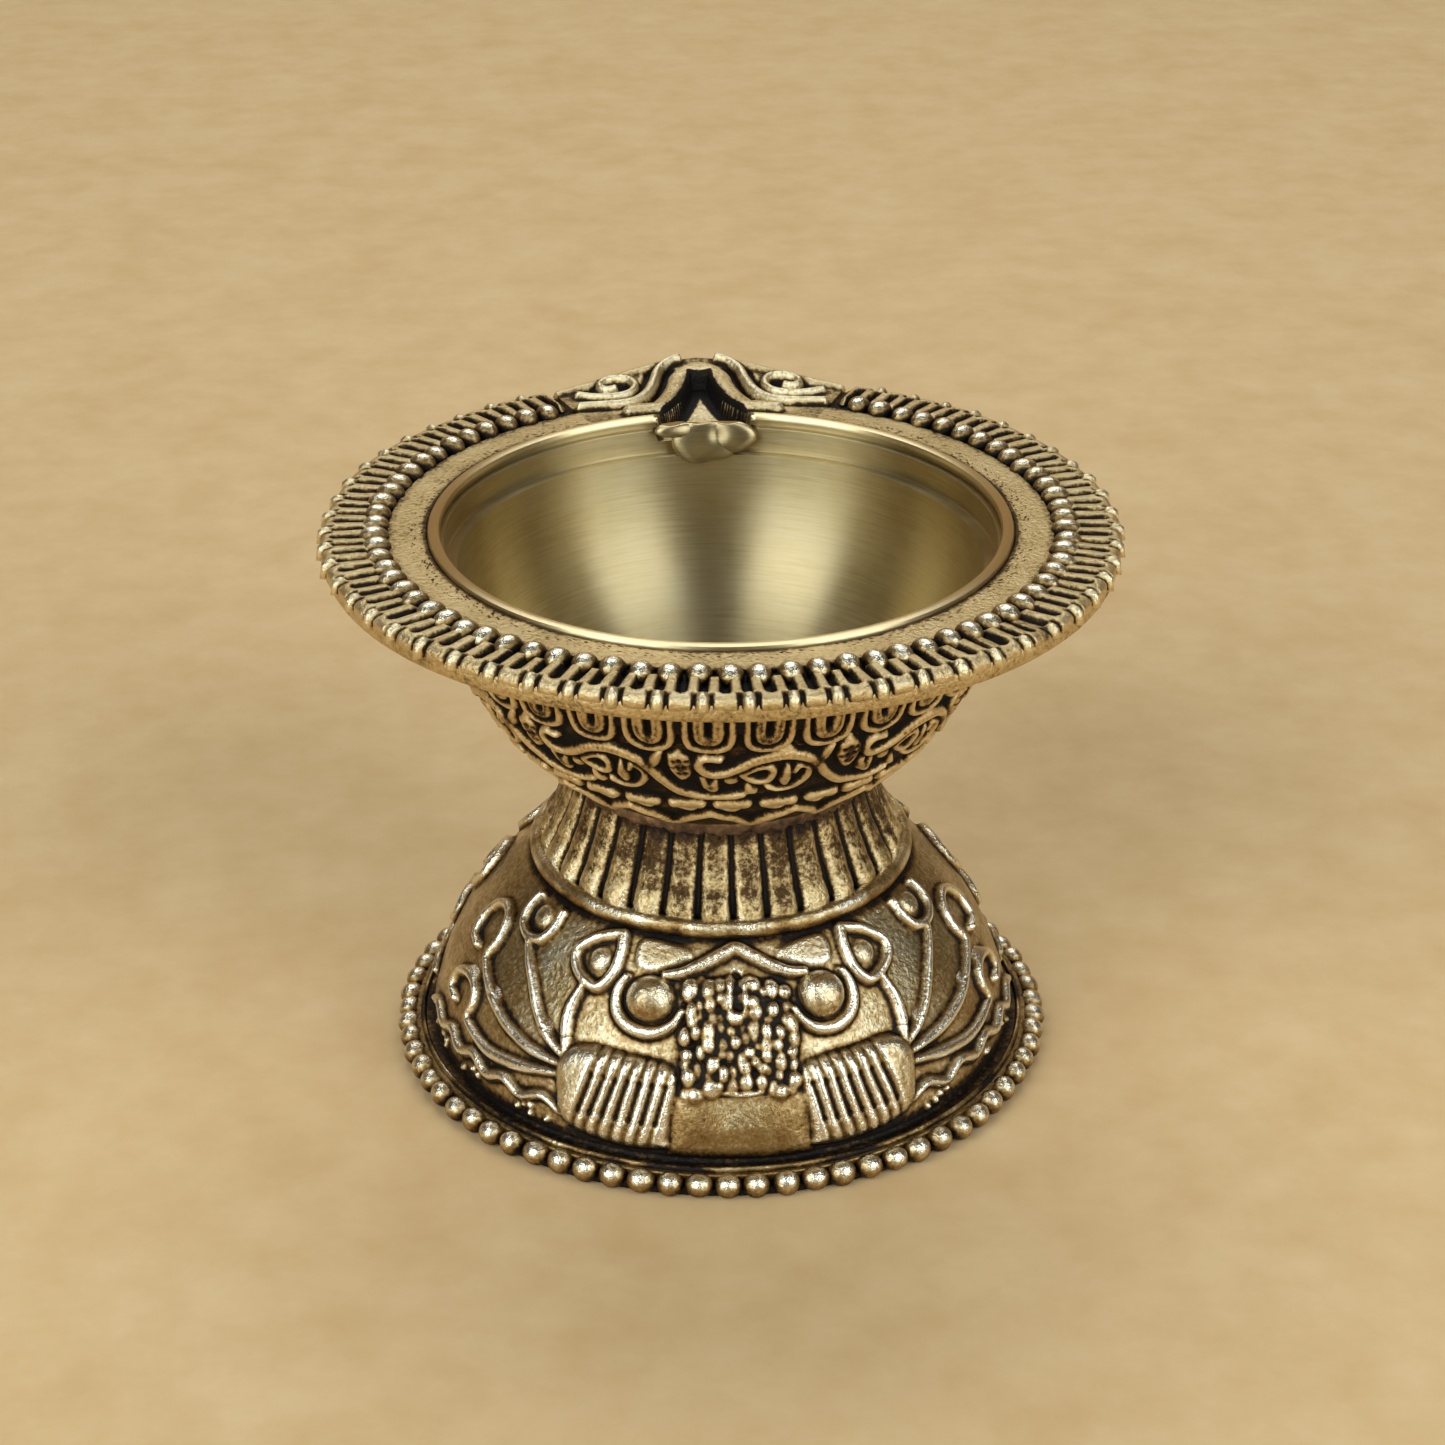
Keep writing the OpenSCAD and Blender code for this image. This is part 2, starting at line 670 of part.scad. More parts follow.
module spout_outline() {
    inner = plain_r + rim_fit;
    polygon(concat(
        [for (a = [-spout_span : spout_span / 12 : spout_span + eps]) spout_edge(a) * [sin(a), cos(a)]],
        [for (a = [spout_span : -spout_span / 6 : -spout_span - eps]) inner * [sin(a), cos(a)]]));
}

module wick_spout() color("goldenrod") {
    difference() {
        union() {
            translate([0, 0, floor_z]) linear_extrude(rim_z - floor_z) spout_outline();
            translate([0, 0, under_z + edge_bevel]) linear_extrude(rim_z - under_z - edge_bevel)
                difference() {
                    spout_outline();
                    circle(rim_r);
                }
        }
        wick_channel();
    }
}

module both_hands() {
    children();
    mirror([1, 0, 0]) children();
}

// Ribs that wall the wick channel and close to the spout's point
spout_rib_w = 1.3;
module spout_ribs() color("gold") {
    line = concat(
        [for (t = [0.12 : 0.11 : 1]) [channel_half(t) + spout_rib_w * 0.6, channel_y(t)]],
        [[spout_rib_w * 0.7, tip_r - 0.9]]);
    translate([0, 0, rim_z]) linear_extrude(scroll_h) both_hands() stroke(line, spout_rib_w, 0.7);
}

// One spiral on each side of the spout, led in from the string of beads
scroll_x = 7.4;
scroll_r = 1.75;
scroll_w = 0.8;
module spout_scrolls() color("gold") {
    middle = [scroll_x, sqrt(pow(rim_r - 0.5 - scroll_r, 2) - pow(scroll_x, 2)) - 0.3];
    turns = 1.35;
    spiral = [for (t = [0 : 0.05 : 1.001])
        middle + scroll_r * (1 - 0.72 * t) * [cos(-60 - 360 * turns * t), sin(-60 - 360 * turns * t)]];
    lead = [for (a = [spout_span - 1, spout_span - 5]) rim_ring_r * [sin(a), cos(a)]];
    translate([0, 0, rim_z]) linear_extrude(scroll_h) both_hands()
        stroke(concat(lead, spiral), scroll_w, 0.7);
}

// A drop of solder left at the mouth of the channel
module wick_rest() color("khaki") {
    drops = channel_w * [[-0.2, 0.185], [0.11, 0.27], [0.32, 0.2]];
    intersection() {
        union() for (d = drops)
            translate([d[0], band_r - 0.6, rim_z - channel_depth - 0.6]) sphere(r = d[1]);
        bowl_cavity();
        translate([0, 0, -far]) cylinder(r = far, h = far + rim_z - 0.4);
    }
}

foot_shell();
base_wire();
foot_beads();
neck_ring();
neck_collar();
neck_braze();
bowl_cup();
bowl_arches();
bowl_vine();
bowl_buds();
bowl_leaves();
bowl_dashes();
bowl_petals();
rim_flange();
rim_beads();
rim_fringe();
wick_spout();
spout_ribs();
spout_scrolls();
wick_rest();
foot_brows();
foot_balls();
ball_crescents();
foot_pebbles();
foot_sheaves();
foot_panels();
feather_stems();
feather_eyes();
eye_studs();
foot_ruffles();
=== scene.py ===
# %% [markdown]
# # A footed brass oil lamp
# The lamp is a small cast diya: a round oil bowl with a wide rim and a wick spout, a fluted neck and a
# domed foot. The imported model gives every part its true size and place. Here the parts get the look of an
# old casting: soft raised ornament, black patina in the hollows and pale rubbed metal on the high places.

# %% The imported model
import math

import bmesh
import bpy
import numpy as np
from mathutils import Matrix, Vector


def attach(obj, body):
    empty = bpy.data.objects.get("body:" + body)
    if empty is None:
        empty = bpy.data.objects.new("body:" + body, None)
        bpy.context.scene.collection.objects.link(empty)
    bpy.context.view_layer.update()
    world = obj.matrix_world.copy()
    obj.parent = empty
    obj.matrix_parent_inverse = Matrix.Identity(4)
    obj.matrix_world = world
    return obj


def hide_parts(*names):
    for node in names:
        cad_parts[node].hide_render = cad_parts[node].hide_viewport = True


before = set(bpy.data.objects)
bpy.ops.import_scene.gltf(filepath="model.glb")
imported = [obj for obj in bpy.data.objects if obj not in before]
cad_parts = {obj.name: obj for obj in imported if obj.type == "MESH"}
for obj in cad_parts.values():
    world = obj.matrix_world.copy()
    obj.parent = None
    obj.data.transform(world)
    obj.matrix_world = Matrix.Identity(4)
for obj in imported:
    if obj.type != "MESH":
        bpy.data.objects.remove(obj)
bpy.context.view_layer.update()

# %% [markdown]
# ## Sizes and the two balls
# The foot's dome and the bowl are both parts of balls, and almost all the ornament lies on them. A place on
# a ball is an angle from the front, in degrees, and a row, which is about a millimetre down the surface.
# The numbers are those of the solids, so that each ornament lies where its solid lies. Only the edge of the
# base plate is drawn in a little.

# %% Sizes in millimetres
MM = 0.001
FOOT_H, CROWN_R, FOOT_R, BASE_H, FOOT_WALL = 18.8, 17.4, 27.2, 2.4, 2.0
GROOVE_Z, LEDGE_Z, WIRE_R, BEAD_SEAT_R, PLATE_R = 1.8, 0.9, 28.2, 28.9, 29.6
COLLAR_TOP, COLLAR_R, NECK_R, BORE_R = 28.2, 16.0, 12.9, 5.1
BOWL_R, INNER_R, FRINGE_OUT = 25.0, 23.4, 34.3
DOME_Z = (CROWN_R**2 + FOOT_H**2 - FOOT_R**2 - BASE_H**2) / (2 * (FOOT_H - BASE_H))
DOME_R = math.hypot(FOOT_R, BASE_H - DOME_Z)
BOWL_Z = COLLAR_TOP + math.sqrt(BOWL_R**2 - NECK_R**2)
RIM_Z = BOWL_Z + 1.6
SEAT_Z, FLOOR_Z, LIP_TOP = RIM_Z - 5, RIM_Z - 0.35, RIM_Z + 0.8
LIP_R, LIP_IN, BAND_R, BELT_R, BORE_LIP, PLAIN_R, RIM_R = 25.8, 24.7, 24.4, 26.5, 25.86, 29.36, 35.0


class Ball:
    """A round surface that carries ornament, from its first row to its last."""

    def __init__(self, radius, height, first, last, rows):
        self.radius, self.height, self.rows = radius, height, rows
        self.first, self.last = math.asin(first), math.asin(last)

    def point(self, row, lift=0.0):
        latitude = self.first + (self.last - self.first) * row / self.rows
        reach = self.radius + lift
        return reach * math.cos(latitude), self.height + reach * math.sin(latitude)

    def radius_at(self, row):
        return self.point(row)[0]


foot_ball = Ball(DOME_R, DOME_Z, (FOOT_H - DOME_Z) / DOME_R, (BASE_H - DOME_Z) / DOME_R, 19.5)
bowl_ball = Ball(BOWL_R, BOWL_Z, 0.0, (COLLAR_TOP - BOWL_Z) / BOWL_R, 25.7)
print("dome", round(DOME_Z, 3), round(DOME_R, 3), "bowl", round(BOWL_Z, 3), "rim", round(RIM_Z, 3))

# %% [markdown]
# ## Drawing ornament as height
# Ornament like this was cut in wax: lines, dots and leaves stand above a sunk ground. It could be modelled
# wire by wire, but then no wire melts into the ground as it does in a casting. So it is drawn as a height
# over angle and row, and the fine rings below are pushed out by that height. The same drawing tells where
# the hollows are, and they keep the black patina when the lamp is rubbed.


# %% Lines, ridges and soft edges
TINY = 1e-9


def smooth_line(points, steps=6):
    """A smooth curve through the given points."""
    p = np.asarray(points, float)
    ends = np.vstack([2 * p[:1] - p[1:2], p, 2 * p[-1:] - p[-2:-1]])
    t = np.linspace(0, 1, steps, endpoint=False)[:, None]
    runs = []
    for a, b, c, d in zip(ends, ends[1:], ends[2:], ends[3:]):
        bend = (2 * a - 5 * b + 4 * c - d) * t**2 + (3 * b - a - 3 * c + d) * t**3
        runs.append(0.5 * (2 * b + (c - a) * t + bend))
    return np.vstack(runs + [p[-1:]])


def crown(share, fullness=2.4):
    """Height of a rounded ridge at a share of its half-width: 1 in the middle, 0 at the edge."""
    return np.sqrt(np.clip(1 - np.clip(share, 0, 1) ** fullness, 0, 1))


def rising(past, reach=1.0):
    """0 before an edge, 1 from reach past it, and a straight slope between."""
    return np.clip(past / reach, 0, 1)


def blurred(field, reach):
    """The mean of a field over a square; columns run round the lamp and join up."""
    for axis, mode in ((0, "edge"), (1, "wrap")):
        pad = [(0, 0), (0, 0)]
        pad[axis] = (reach, reach)
        wide = np.pad(field, pad, mode=mode)
        count = field.shape[axis]
        field = sum(np.take(wide, np.arange(i, i + count), axis) for i in range(2 * reach + 1))
        field = field / (2 * reach + 1)
    return field


print("a ridge half-way out:", round(float(crown(0.5)), 2))


# %% The drawing board
class Drawing:
    """Ornament as a height in millimetres, over one tile of angle that repeats round the lamp."""

    def __init__(self, tile, top, bottom, radius_at, step=0.09):
        self.tile, self.top, self.step = tile, top, step
        count = int(math.radians(tile) * radius_at((top + bottom) / 2) / step)
        rows = np.arange(top, bottom + step, step)
        self.angle, self.row = np.meshgrid(np.arange(count) * tile / count, rows)
        self.radius_at = np.vectorize(radius_at)
        self.degree = np.radians(self.radius_at(rows))[:, None]
        self.height = np.zeros(self.row.shape)
        # Patina of the hollows and rubbing of the high places; on the foot and spout also painted light and
        # shade.
        self.patina_and_lighting = np.zeros(self.row.shape)

    def offset(self, angle, row):
        turn = (self.angle - angle + self.tile / 2) % self.tile - self.tile / 2
        return turn * self.degree, self.row - row

    def far_from(self, points, widths):
        """Distance to a line of places, as a share of the line's half-width there."""
        share = np.full(self.row.shape, np.inf)
        for (a0, s0), (a1, s1), width in zip(points, points[1:], widths):
            x, y = self.offset((a0 + a1) / 2, (s0 + s1) / 2)
            dx = (a1 - a0) * math.radians(float(self.radius_at((s0 + s1) / 2)))
            dy = s1 - s0
            t = np.clip((x * dx + y * dy) / max(dx * dx + dy * dy, TINY), -0.5, 0.5)
            share = np.minimum(share, np.hypot(x - t * dx, y - t * dy) / (width / 2))
        return share

    def line(self, points, width, height, ends=0.7, fullness=2.4):
        """A raised wire through the places, thinner at its ends."""
        points = smooth_line(points)
        swell = ends + (1 - ends) * np.sin(np.linspace(0, math.pi, len(points) - 1))
        ridge = height * crown(self.far_from(points, width * swell), fullness)
        self.height = np.maximum(self.height, ridge)

    def cut(self, points, width, depth):
        """A groove through the places."""
        points = smooth_line(points)
        groove = depth * crown(self.far_from(points, np.full(len(points), width)))
        self.height = self.height - groove

    def dot(self, angle, row, size, height, tall=1.0):
        x, y = self.offset(angle, row)
        self.height = np.maximum(self.height, height * crown(np.hypot(x, y / tall) / (size / 2), 2))

    def pit(self, angle, row, size, depth):
        x, y = self.offset(angle, row)
        self.height = self.height - depth * crown(np.hypot(x, y) / (size / 2), 2)

    def leaf(self, corners, height, edge, round_off=True):
        """A raised patch with rounded sides, inside a closed line of places."""
        loop = list(corners) + [corners[0]]
        loop = smooth_line(loop) if round_off else np.asarray(loop, float)
        middle = np.mean(loop, 0)
        x, y = self.offset(*middle)
        scale = math.radians(float(self.radius_at(middle[1])))
        flat = (loop - middle) * [scale, 1]
        inside = np.zeros(x.shape, bool)
        away = np.full(x.shape, np.inf)
        for (x0, y0), (x1, y1) in zip(flat, flat[1:]):
            dx, dy = x1 - x0, y1 - y0
            if abs(dx) + abs(dy) < TINY:
                continue
            t = np.clip(((x - x0) * dx + (y - y0) * dy) / (dx * dx + dy * dy), 0, 1)
            away = np.minimum(away, np.hypot(x - x0 - t * dx, y - y0 - t * dy))
            if y0 != y1:
                inside ^= ((y0 > y) != (y1 > y)) & (x < x0 + (y - y0) * dx / dy)
        patch = height * crown(1 - rising(away, edge), 2) * inside
        self.height = np.maximum(self.height, patch)

    def settle(self, reach=7, contrast=1.6, level=0.5):
        """Rounds the drawing off as a casting is, and finds its hollows and its worn high places."""
        self.height = blurred(self.height, 1)
        stand = self.height - blurred(self.height, reach)
        self.patina_and_lighting = np.clip(level + contrast * stand, 0, 1)

    def read(self, field, angle, row):
        """A field's values between its points, at any angles and rows."""
        count = field.shape[1]
        x = (angle % self.tile) / self.tile * count
        y = np.clip((row - self.top) / self.step, 0, field.shape[0] - 1.001)
        x0, y0 = np.floor(x).astype(int), np.floor(y).astype(int)
        fx, fy = x - x0, y - y0
        low = field[y0, x0 % count] * (1 - fx) + field[y0, (x0 + 1) % count] * fx
        high = field[y0 + 1, x0 % count] * (1 - fx) + field[y0 + 1, (x0 + 1) % count] * fx
        return low * (1 - fy) + high * fy


print("drawing board ready")

# %% [markdown]
# ## Rings
# Every main part of the lamp is round, so each is one closed outline spun round the axis. The outline has
# many points where ornament will stand and few where nothing shows. Each point remembers its row and the
# way out from the metal, and those ride along through the spin, so the ornament can be pushed out later.
# A spin of a thousand steps is slow, so a short sector is spun first and then copied round and merged.


# %% Spinning a ring
SECTORS, MERGE_GAP, PLAIN = 20, 0.002, -1
NOTES = ("row", "out_r", "out_z")


def near(radius, height, *steps):
    """Points of an outline, as steps from one of its corners."""
    return [(radius + r, height + z) for r, z in steps]


def spun(outline, steps, rows=None):
    """Spins a closed outline of (radius, height) points; a point without ornament has the row PLAIN."""
    points = np.asarray(outline, float)
    rows = [PLAIN] * len(points) if rows is None else rows
    following = np.roll(points, -1, 0)
    area = np.sum(points[:, 0] * following[:, 1] - following[:, 0] * points[:, 1])
    along = following - np.roll(points, 1, 0)
    out = np.stack([along[:, 1], -along[:, 0]], 1) * np.sign(area)
    out /= np.maximum(np.linalg.norm(out, axis=1), TINY)[:, None]
    bm = bmesh.new()
    notes = [bm.verts.layers.float.new(key) for key in NOTES]
    verts = []
    for (r, z), row, way in zip(points, rows, out):
        vert = bm.verts.new((0, -r * MM, z * MM))
        for note, value in zip(notes, (row, *way)):
            vert[note] = value
        verts.append(vert)
    edges = [bm.edges.new(pair) for pair in zip(verts, verts[1:] + verts[:1])]
    sector = math.tau / SECTORS
    about = {"cent": (0, 0, 0), "axis": (0, 0, 1)}
    bmesh.ops.spin(bm, geom=verts + edges, angle=sector, steps=steps // SECTORS, **about)
    whole = bm.verts[:] + bm.edges[:] + bm.faces[:]
    rest = math.tau - sector
    bmesh.ops.spin(bm, geom=whole, angle=rest, steps=SECTORS - 1, use_duplicate=True, **about)
    bmesh.ops.remove_doubles(bm, verts=bm.verts, dist=MERGE_GAP * MM)
    bmesh.ops.recalc_face_normals(bm, faces=bm.faces)
    return bm


print("rings are spun in", SECTORS, "sectors")


# %% Making a piece
def smooth_mesh(name, bm):
    mesh = bpy.data.meshes.new(name)
    bm.to_mesh(mesh)
    bm.free()
    mesh.polygons.foreach_set("use_smooth", np.ones(len(mesh.polygons), bool))
    return mesh


def placed(name, data):
    made = bpy.data.objects.new(name, data)
    bpy.context.scene.collection.objects.link(made)
    return made


def piece(name, bm, finish, nodes, sharp=65):
    """Makes a bmesh a piece of the lamp that stands for the named solids."""
    mesh = smooth_mesh(name, bm)
    mesh.set_sharp_from_angle(angle=math.radians(sharp))
    mesh.materials.append(finish)
    made = placed(name, mesh)
    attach(made, "root")
    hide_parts(*nodes)
    print(f"{name}: {len(mesh.vertices)} vertices, {len(mesh.polygons)} faces")
    return made


# %% Vertices and their wear
def values(made, key):
    found = np.zeros(len(made.data.vertices), np.float32)
    made.data.attributes[key].data.foreach_get("value", found)
    return found.astype(float)


def places(made):
    """Vertex places in millimetres."""
    found = np.zeros(len(made.data.vertices) * 3, np.float32)
    made.data.vertices.foreach_get("co", found)
    return found.reshape(-1, 3).astype(float) / MM


def set_places(made, co):
    made.data.vertices.foreach_set("co", (co * MM).astype(np.float32).ravel())
    made.data.update()


def set_wear_and_lighting(made, worn):
    """Rubbing with painted light and shade: 0 in a black hollow or painted shade, 1 on a bright high place
    or painted highlight.
    """
    note = made.data.attributes.new("worn", "FLOAT", "POINT")
    note.data.foreach_set("value", np.clip(worn, 0, 1).astype(np.float32))


def angle_of(co):
    return np.degrees(np.arctan2(co[:, 0], -co[:, 1]))


def wander(angle, row, seed):
    """A slow unevenness, from -1 to 1, of work done by hand."""
    a = np.radians(angle)
    slow = np.sin(5 * a + seed) + 0.7 * np.sin(11 * a + 2.3 * seed + 0.4 * row)
    return (slow + 0.5 * np.sin(23 * a - 1.7 * seed + 0.9 * row)) / 2.2


print("handwork at the front:", round(float(wander(0, 0, 1.0)), 2))

# %% Pushing ornament out
SWAY, DRIFT, SWELL = 0.35, 0.12, 0.12


def push_out(made, drawing, seed, plain_worn, turn=0.0, keep=None):
    """Pushes a ring's ornamented side out by a drawing, which sways, drifts and swells as handwork does."""
    co = places(made)
    row, out_r, out_z = (values(made, key) for key in NOTES)
    angle = angle_of(co)
    worn = np.full(len(co), plain_worn)
    on = row > PLAIN / 2
    at = angle[on] - turn + SWAY * wander(angle[on], row[on], seed)
    down = row[on] + DRIFT * wander(angle[on], row[on], seed + 4)
    height = drawing.read(drawing.height, at, down)
    height = height * (1 + SWELL * wander(angle[on] * 2, row[on], seed + 9))
    worn[on] = drawing.read(drawing.patina_and_lighting, at, down)
    if keep is not None:
        share = keep(angle[on])
        height = height * share
        worn[on] = plain_worn + (worn[on] - plain_worn) * share
    radial = co[on, :2] / np.linalg.norm(co[on, :2], axis=1)[:, None]
    co[on, :2] += radial * (out_r[on] * height)[:, None]
    co[on, 2] += out_z[on] * height
    set_places(made, co)
    set_wear_and_lighting(made, worn)
    for key in NOTES:
        made.data.attributes.remove(made.data.attributes[key])


def ornament_band(name, ball, span, pitch, depth, steps, finish, nodes, drawing, seed, turn=0.0):
    """A skin on a ball: a fine outside that a drawing pushes out, and a plain inside."""
    top, bottom = span
    outside = np.linspace(top, bottom, int((bottom - top) / pitch) + 1)
    inside = np.linspace(bottom, top, 5)
    outline = [ball.point(s) for s in outside] + [ball.point(s, -depth) for s in inside]
    rows = list(outside) + [PLAIN] * len(inside)
    made = piece(name, spun(outline, steps, rows), finish, nodes, 80)
    push_out(made, drawing, seed, 0.2, turn)


print("sway in degrees", SWAY, "drift in mm", DRIFT)

# %% [markdown]
# ## Finishes
# The whole lamp is brass, but its finish changes: tan and matt on the bowl, bright and silvery on the foot,
# satin where the bowl was turned inside, coppery and rough at the braze. Each finish mixes black patina and
# rubbed metal by the piece's worn value, which on some pieces also holds painted light and shade,
# broken up by noise, so that no two high places look the same. A thin lacquer lies where the metal is
# rubbed.


# %% Shader maths
class Shade:
    """One output of a shader node; sums and products of these add their Math nodes."""

    def __init__(self, tree, socket=None):
        self.tree, self.socket = tree, socket

    def node(self, kind, settings=(), inputs=(), output=0):
        made = self.tree.nodes.new(kind)
        for name, value in dict(settings).items():
            if name == "stops":
                ramp = made.color_ramp
                while len(ramp.elements) < len(value):
                    ramp.elements.new(0.5)
                for element, (place, colour) in zip(ramp.elements, value):
                    element.position = place
                    element.color = (*colour, 1)
            else:
                setattr(made, name, value)
        for name, value in dict(inputs).items():
            if isinstance(value, Shade):
                self.tree.links.new(value.socket, made.inputs[name])
            else:
                made.inputs[name].default_value = value
        return Shade(self.tree, made.outputs[output])

    def maths(self, operation, first, second, limit=False):
        settings = {"operation": operation, "use_clamp": limit}
        return self.node("ShaderNodeMath", settings, {0: first, 1: second})

    def __add__(self, other):
        return self.maths("ADD", self, other)

    __radd__ = __add__

    def __sub__(self, other):
        return self.maths("SUBTRACT", self, other)

    def __rsub__(self, other):
        return self.maths("SUBTRACT", other, self)

    def __mul__(self, other):
        return self.maths("MULTIPLY", self, other)

    __rmul__ = __mul__

    def limited(self):
        return self.maths("ADD", self, 0.0, limit=True)

    def ramp(self, stops):
        """Colours by value; the stops are places and screen colours."""
        stops = [(place, tone(*colour)) for place, colour in stops]
        return self.node("ShaderNodeValToRGB", {"stops": stops}, {"Fac": self})

    def mix(self, other, share):
        return self.node("ShaderNodeMix", {"data_type": "RGBA"}, {0: share, 6: self, 7: other}, 2)

    def noise(self, place, scale, detail=4.0, rough=0.6):
        inputs = {"Vector": place, "Scale": scale, "Detail": detail, "Roughness": rough}
        return self.node("ShaderNodeTexNoise", {}, inputs, "Fac")

    def bump(self, strength, depth):
        inputs = {"Strength": strength, "Distance": depth * MM, "Height": self}
        return self.node("ShaderNodeBump", {}, inputs)


def tone(red, green, blue):
    """A colour as seen on a screen, 0 to 255, in the linear values that shaders use."""
    share = np.array([red, green, blue]) / 255
    linear = np.where(share > 0.04045, ((share + 0.055) / 1.055) ** 2.4, share / 12.92)
    return tuple(float(x) for x in linear)


print("middle grey:", [round(x, 3) for x in tone(128, 128, 128)])


# %% Opening and closing a finish
def new_finish(name):
    """An empty material, its node maker and the place on the piece."""
    material = bpy.data.materials.new(name)
    material.use_nodes = True
    material.node_tree.nodes.clear()
    shade = Shade(material.node_tree)
    print("finish", name)
    return material, shade, shade.node("ShaderNodeTexCoord", {}, {}, "Object")


def close_finish(shade, colour, metal, rough, bump, streaks=0.0, lacquer=0.0):
    surface = {"Base Color": colour, "Metallic": metal, "Roughness": rough, "Normal": bump}
    surface |= {"Coat Weight": lacquer, "Coat Roughness": 0.2}
    surface |= {"Anisotropic": streaks, "Anisotropic Rotation": 0.25 if streaks else 0.0}
    brass = shade.node("ShaderNodeBsdfPrincipled", {}, surface)
    output = shade.tree.nodes.new("ShaderNodeOutputMaterial")
    shade.tree.links.new(brass.socket, output.inputs["Surface"])


SPECK_SCALE = 2400.0


def antique_brass(name, stops, shine, dull, grain, pits, patch_scale=240.0, patches=0.5):
    """Brass with patina: its colours and its roughness, dull to shine, go from hollow to high place."""
    material, shade, place = new_finish(name)
    worn = shade.node("ShaderNodeAttribute", {"attribute_name": "worn"}, {}, "Fac")
    cloud = shade.noise(place, patch_scale)
    speck = shade.noise(place, SPECK_SCALE, 3.0, 0.7)
    # This follows the worn value, so it carries painted light and shade as well as rubbing.
    rubbed_and_lit = (worn + patches * (cloud - 0.5) + pits * (speck - 0.5)).limited()
    colour = rubbed_and_lit.ramp(stops)
    rough = (dull + (shine - dull) * rubbed_and_lit + 0.25 * (speck - 0.5)).limited()
    metal = (0.6 + 0.8 * rubbed_and_lit).limited()
    bump = (speck + 0.6 * cloud).bump(grain, 0.3)
    lacquer = (1.2 * rubbed_and_lit - 0.45).limited()
    close_finish(shade, colour, metal, rough, bump, lacquer=lacquer)
    return material


print("finish tools ready")

# %% The finishes of cast brass
BLACK, BROWN = (22, 16, 10), (88, 65, 36)
bowl_finish = antique_brass(
    "bowl_cast_brass",
    [(0.14, BLACK), (0.36, BROWN), (0.56, (200, 170, 114)), (0.95, (234, 212, 166))],
    shine=0.36, dull=0.8, grain=0.6, pits=0.8)
foot_finish = antique_brass(
    "foot_rubbed_brass",
    [(0.13, BLACK), (0.26, BROWN), (0.36, (138, 108, 61)), (0.5, (164, 138, 92)),
     (0.66, (210, 194, 156)), (0.9, (246, 240, 222))],
    shine=0.12, dull=0.56, grain=0.42, pits=0.6)
collar_finish = antique_brass(
    "collar_mottled_brass",
    [(0.18, BLACK), (0.38, BROWN), (0.54, (206, 182, 130)), (0.7, (230, 214, 174)),
     (0.95, (248, 243, 228))],
    shine=0.14, dull=0.58, grain=0.6, pits=0.6, patch_scale=130.0, patches=0.7)
rim_finish = antique_brass(
    "rim_cast_brass",
    [(0.12, BLACK), (0.34, BROWN), (0.56, (206, 180, 128)), (0.95, (240, 224, 182))],
    shine=0.3, dull=0.62, grain=0.6, pits=0.7)

# %% The turned inside and the braze
turned_finish, shade, place = new_finish("turned_satin_brass")
cloud = shade.noise(place, 90.0)
stretch = shade.node("ShaderNodeMapping", {}, {"Vector": place, "Scale": (1.0, 1.0, 30.0)})
lines = shade.noise(stretch, 200.0, 2.0)
tint = (0.6 * cloud + 0.4 * lines).limited().ramp(
    [(0.3, (166, 146, 102)), (0.5, (186, 168, 124)), (0.7, (198, 182, 142))])
height = shade.node("ShaderNodeSeparateXYZ", {}, {"Vector": place}, "Z")
on_lip = (4000 * (height - (LIP_TOP - 1.0) * MM)).limited()
tint = tint.mix((*tone(230, 208, 160), 1), on_lip)
satin = 0.3 + 0.14 * cloud + 0.06 * lines - 0.04 * on_lip
close_finish(shade, tint, 1.0, satin, lines.bump(0.05, 0.2), streaks=0.8, lacquer=0.3)

braze_finish, shade, place = new_finish("braze_rough")
lump = shade.noise(place, 700.0)
copper = lump.ramp([(0.3, (58, 44, 34)), (0.5, (118, 94, 72)), (0.75, (180, 150, 120))])
close_finish(shade, copper, (0.3 + 0.9 * lump).limited(), 0.75 - 0.4 * lump, lump.bump(0.6, 0.4))

# %% [markdown]
# ## The bowl
# The bowl was cast, then turned inside on a lathe: a thin lip, an undercut and a flat band lie above the
# round well. Its outline is spun as one closed shell. The lip is cut down where the wick channel leaves,
# by lowering the vertices of the fine ring, as a file would lower the metal.


# %% The wick channel's shape
CHANNEL_W, CHANNEL_TIP, CHANNEL_DEPTH, CHANNEL_END = 8.1, 34.6, 2.0, 0.9


def channel_share(along):
    """How far a place lies along the channel: 0 at the lip, 1 at the tip."""
    return rising(along - LIP_IN, CHANNEL_TIP - LIP_IN)


def channel_half(share):
    return CHANNEL_W / 2 * (0.15 + 0.95 * (1 - share) ** 1.8)


def channel_floor(share):
    return RIM_Z - CHANNEL_DEPTH + (CHANNEL_DEPTH - CHANNEL_END) * share


def channel_patina_and_lighting(across, along):
    """The floor is black, patina and painted shade, but for a painted highlight: a bright wedge of light in
    the channel's mouth.
    """
    return 0.7 * (np.clip(2.1 - 0.42 * (along - 27.0) - np.abs(across), 0, 0.4) / 0.4)


def lower_channel(made):
    """Lowers what lies in the wick channel to the channel's sloping floor."""
    co = places(made)
    across, along, height = co.T
    share = channel_share(along)
    floor = channel_floor(share)
    within = (np.abs(across) < channel_half(share)) & (height > floor)
    within &= (along > LIP_IN - 3) & (along < CHANNEL_TIP)
    co[within, 2] = floor[within] + 0.01 * (height[within] - floor[within])
    set_places(made, co)
    return within


print("channel half-widths", [round(channel_half(t), 2) for t in (0, 0.5, 1)])

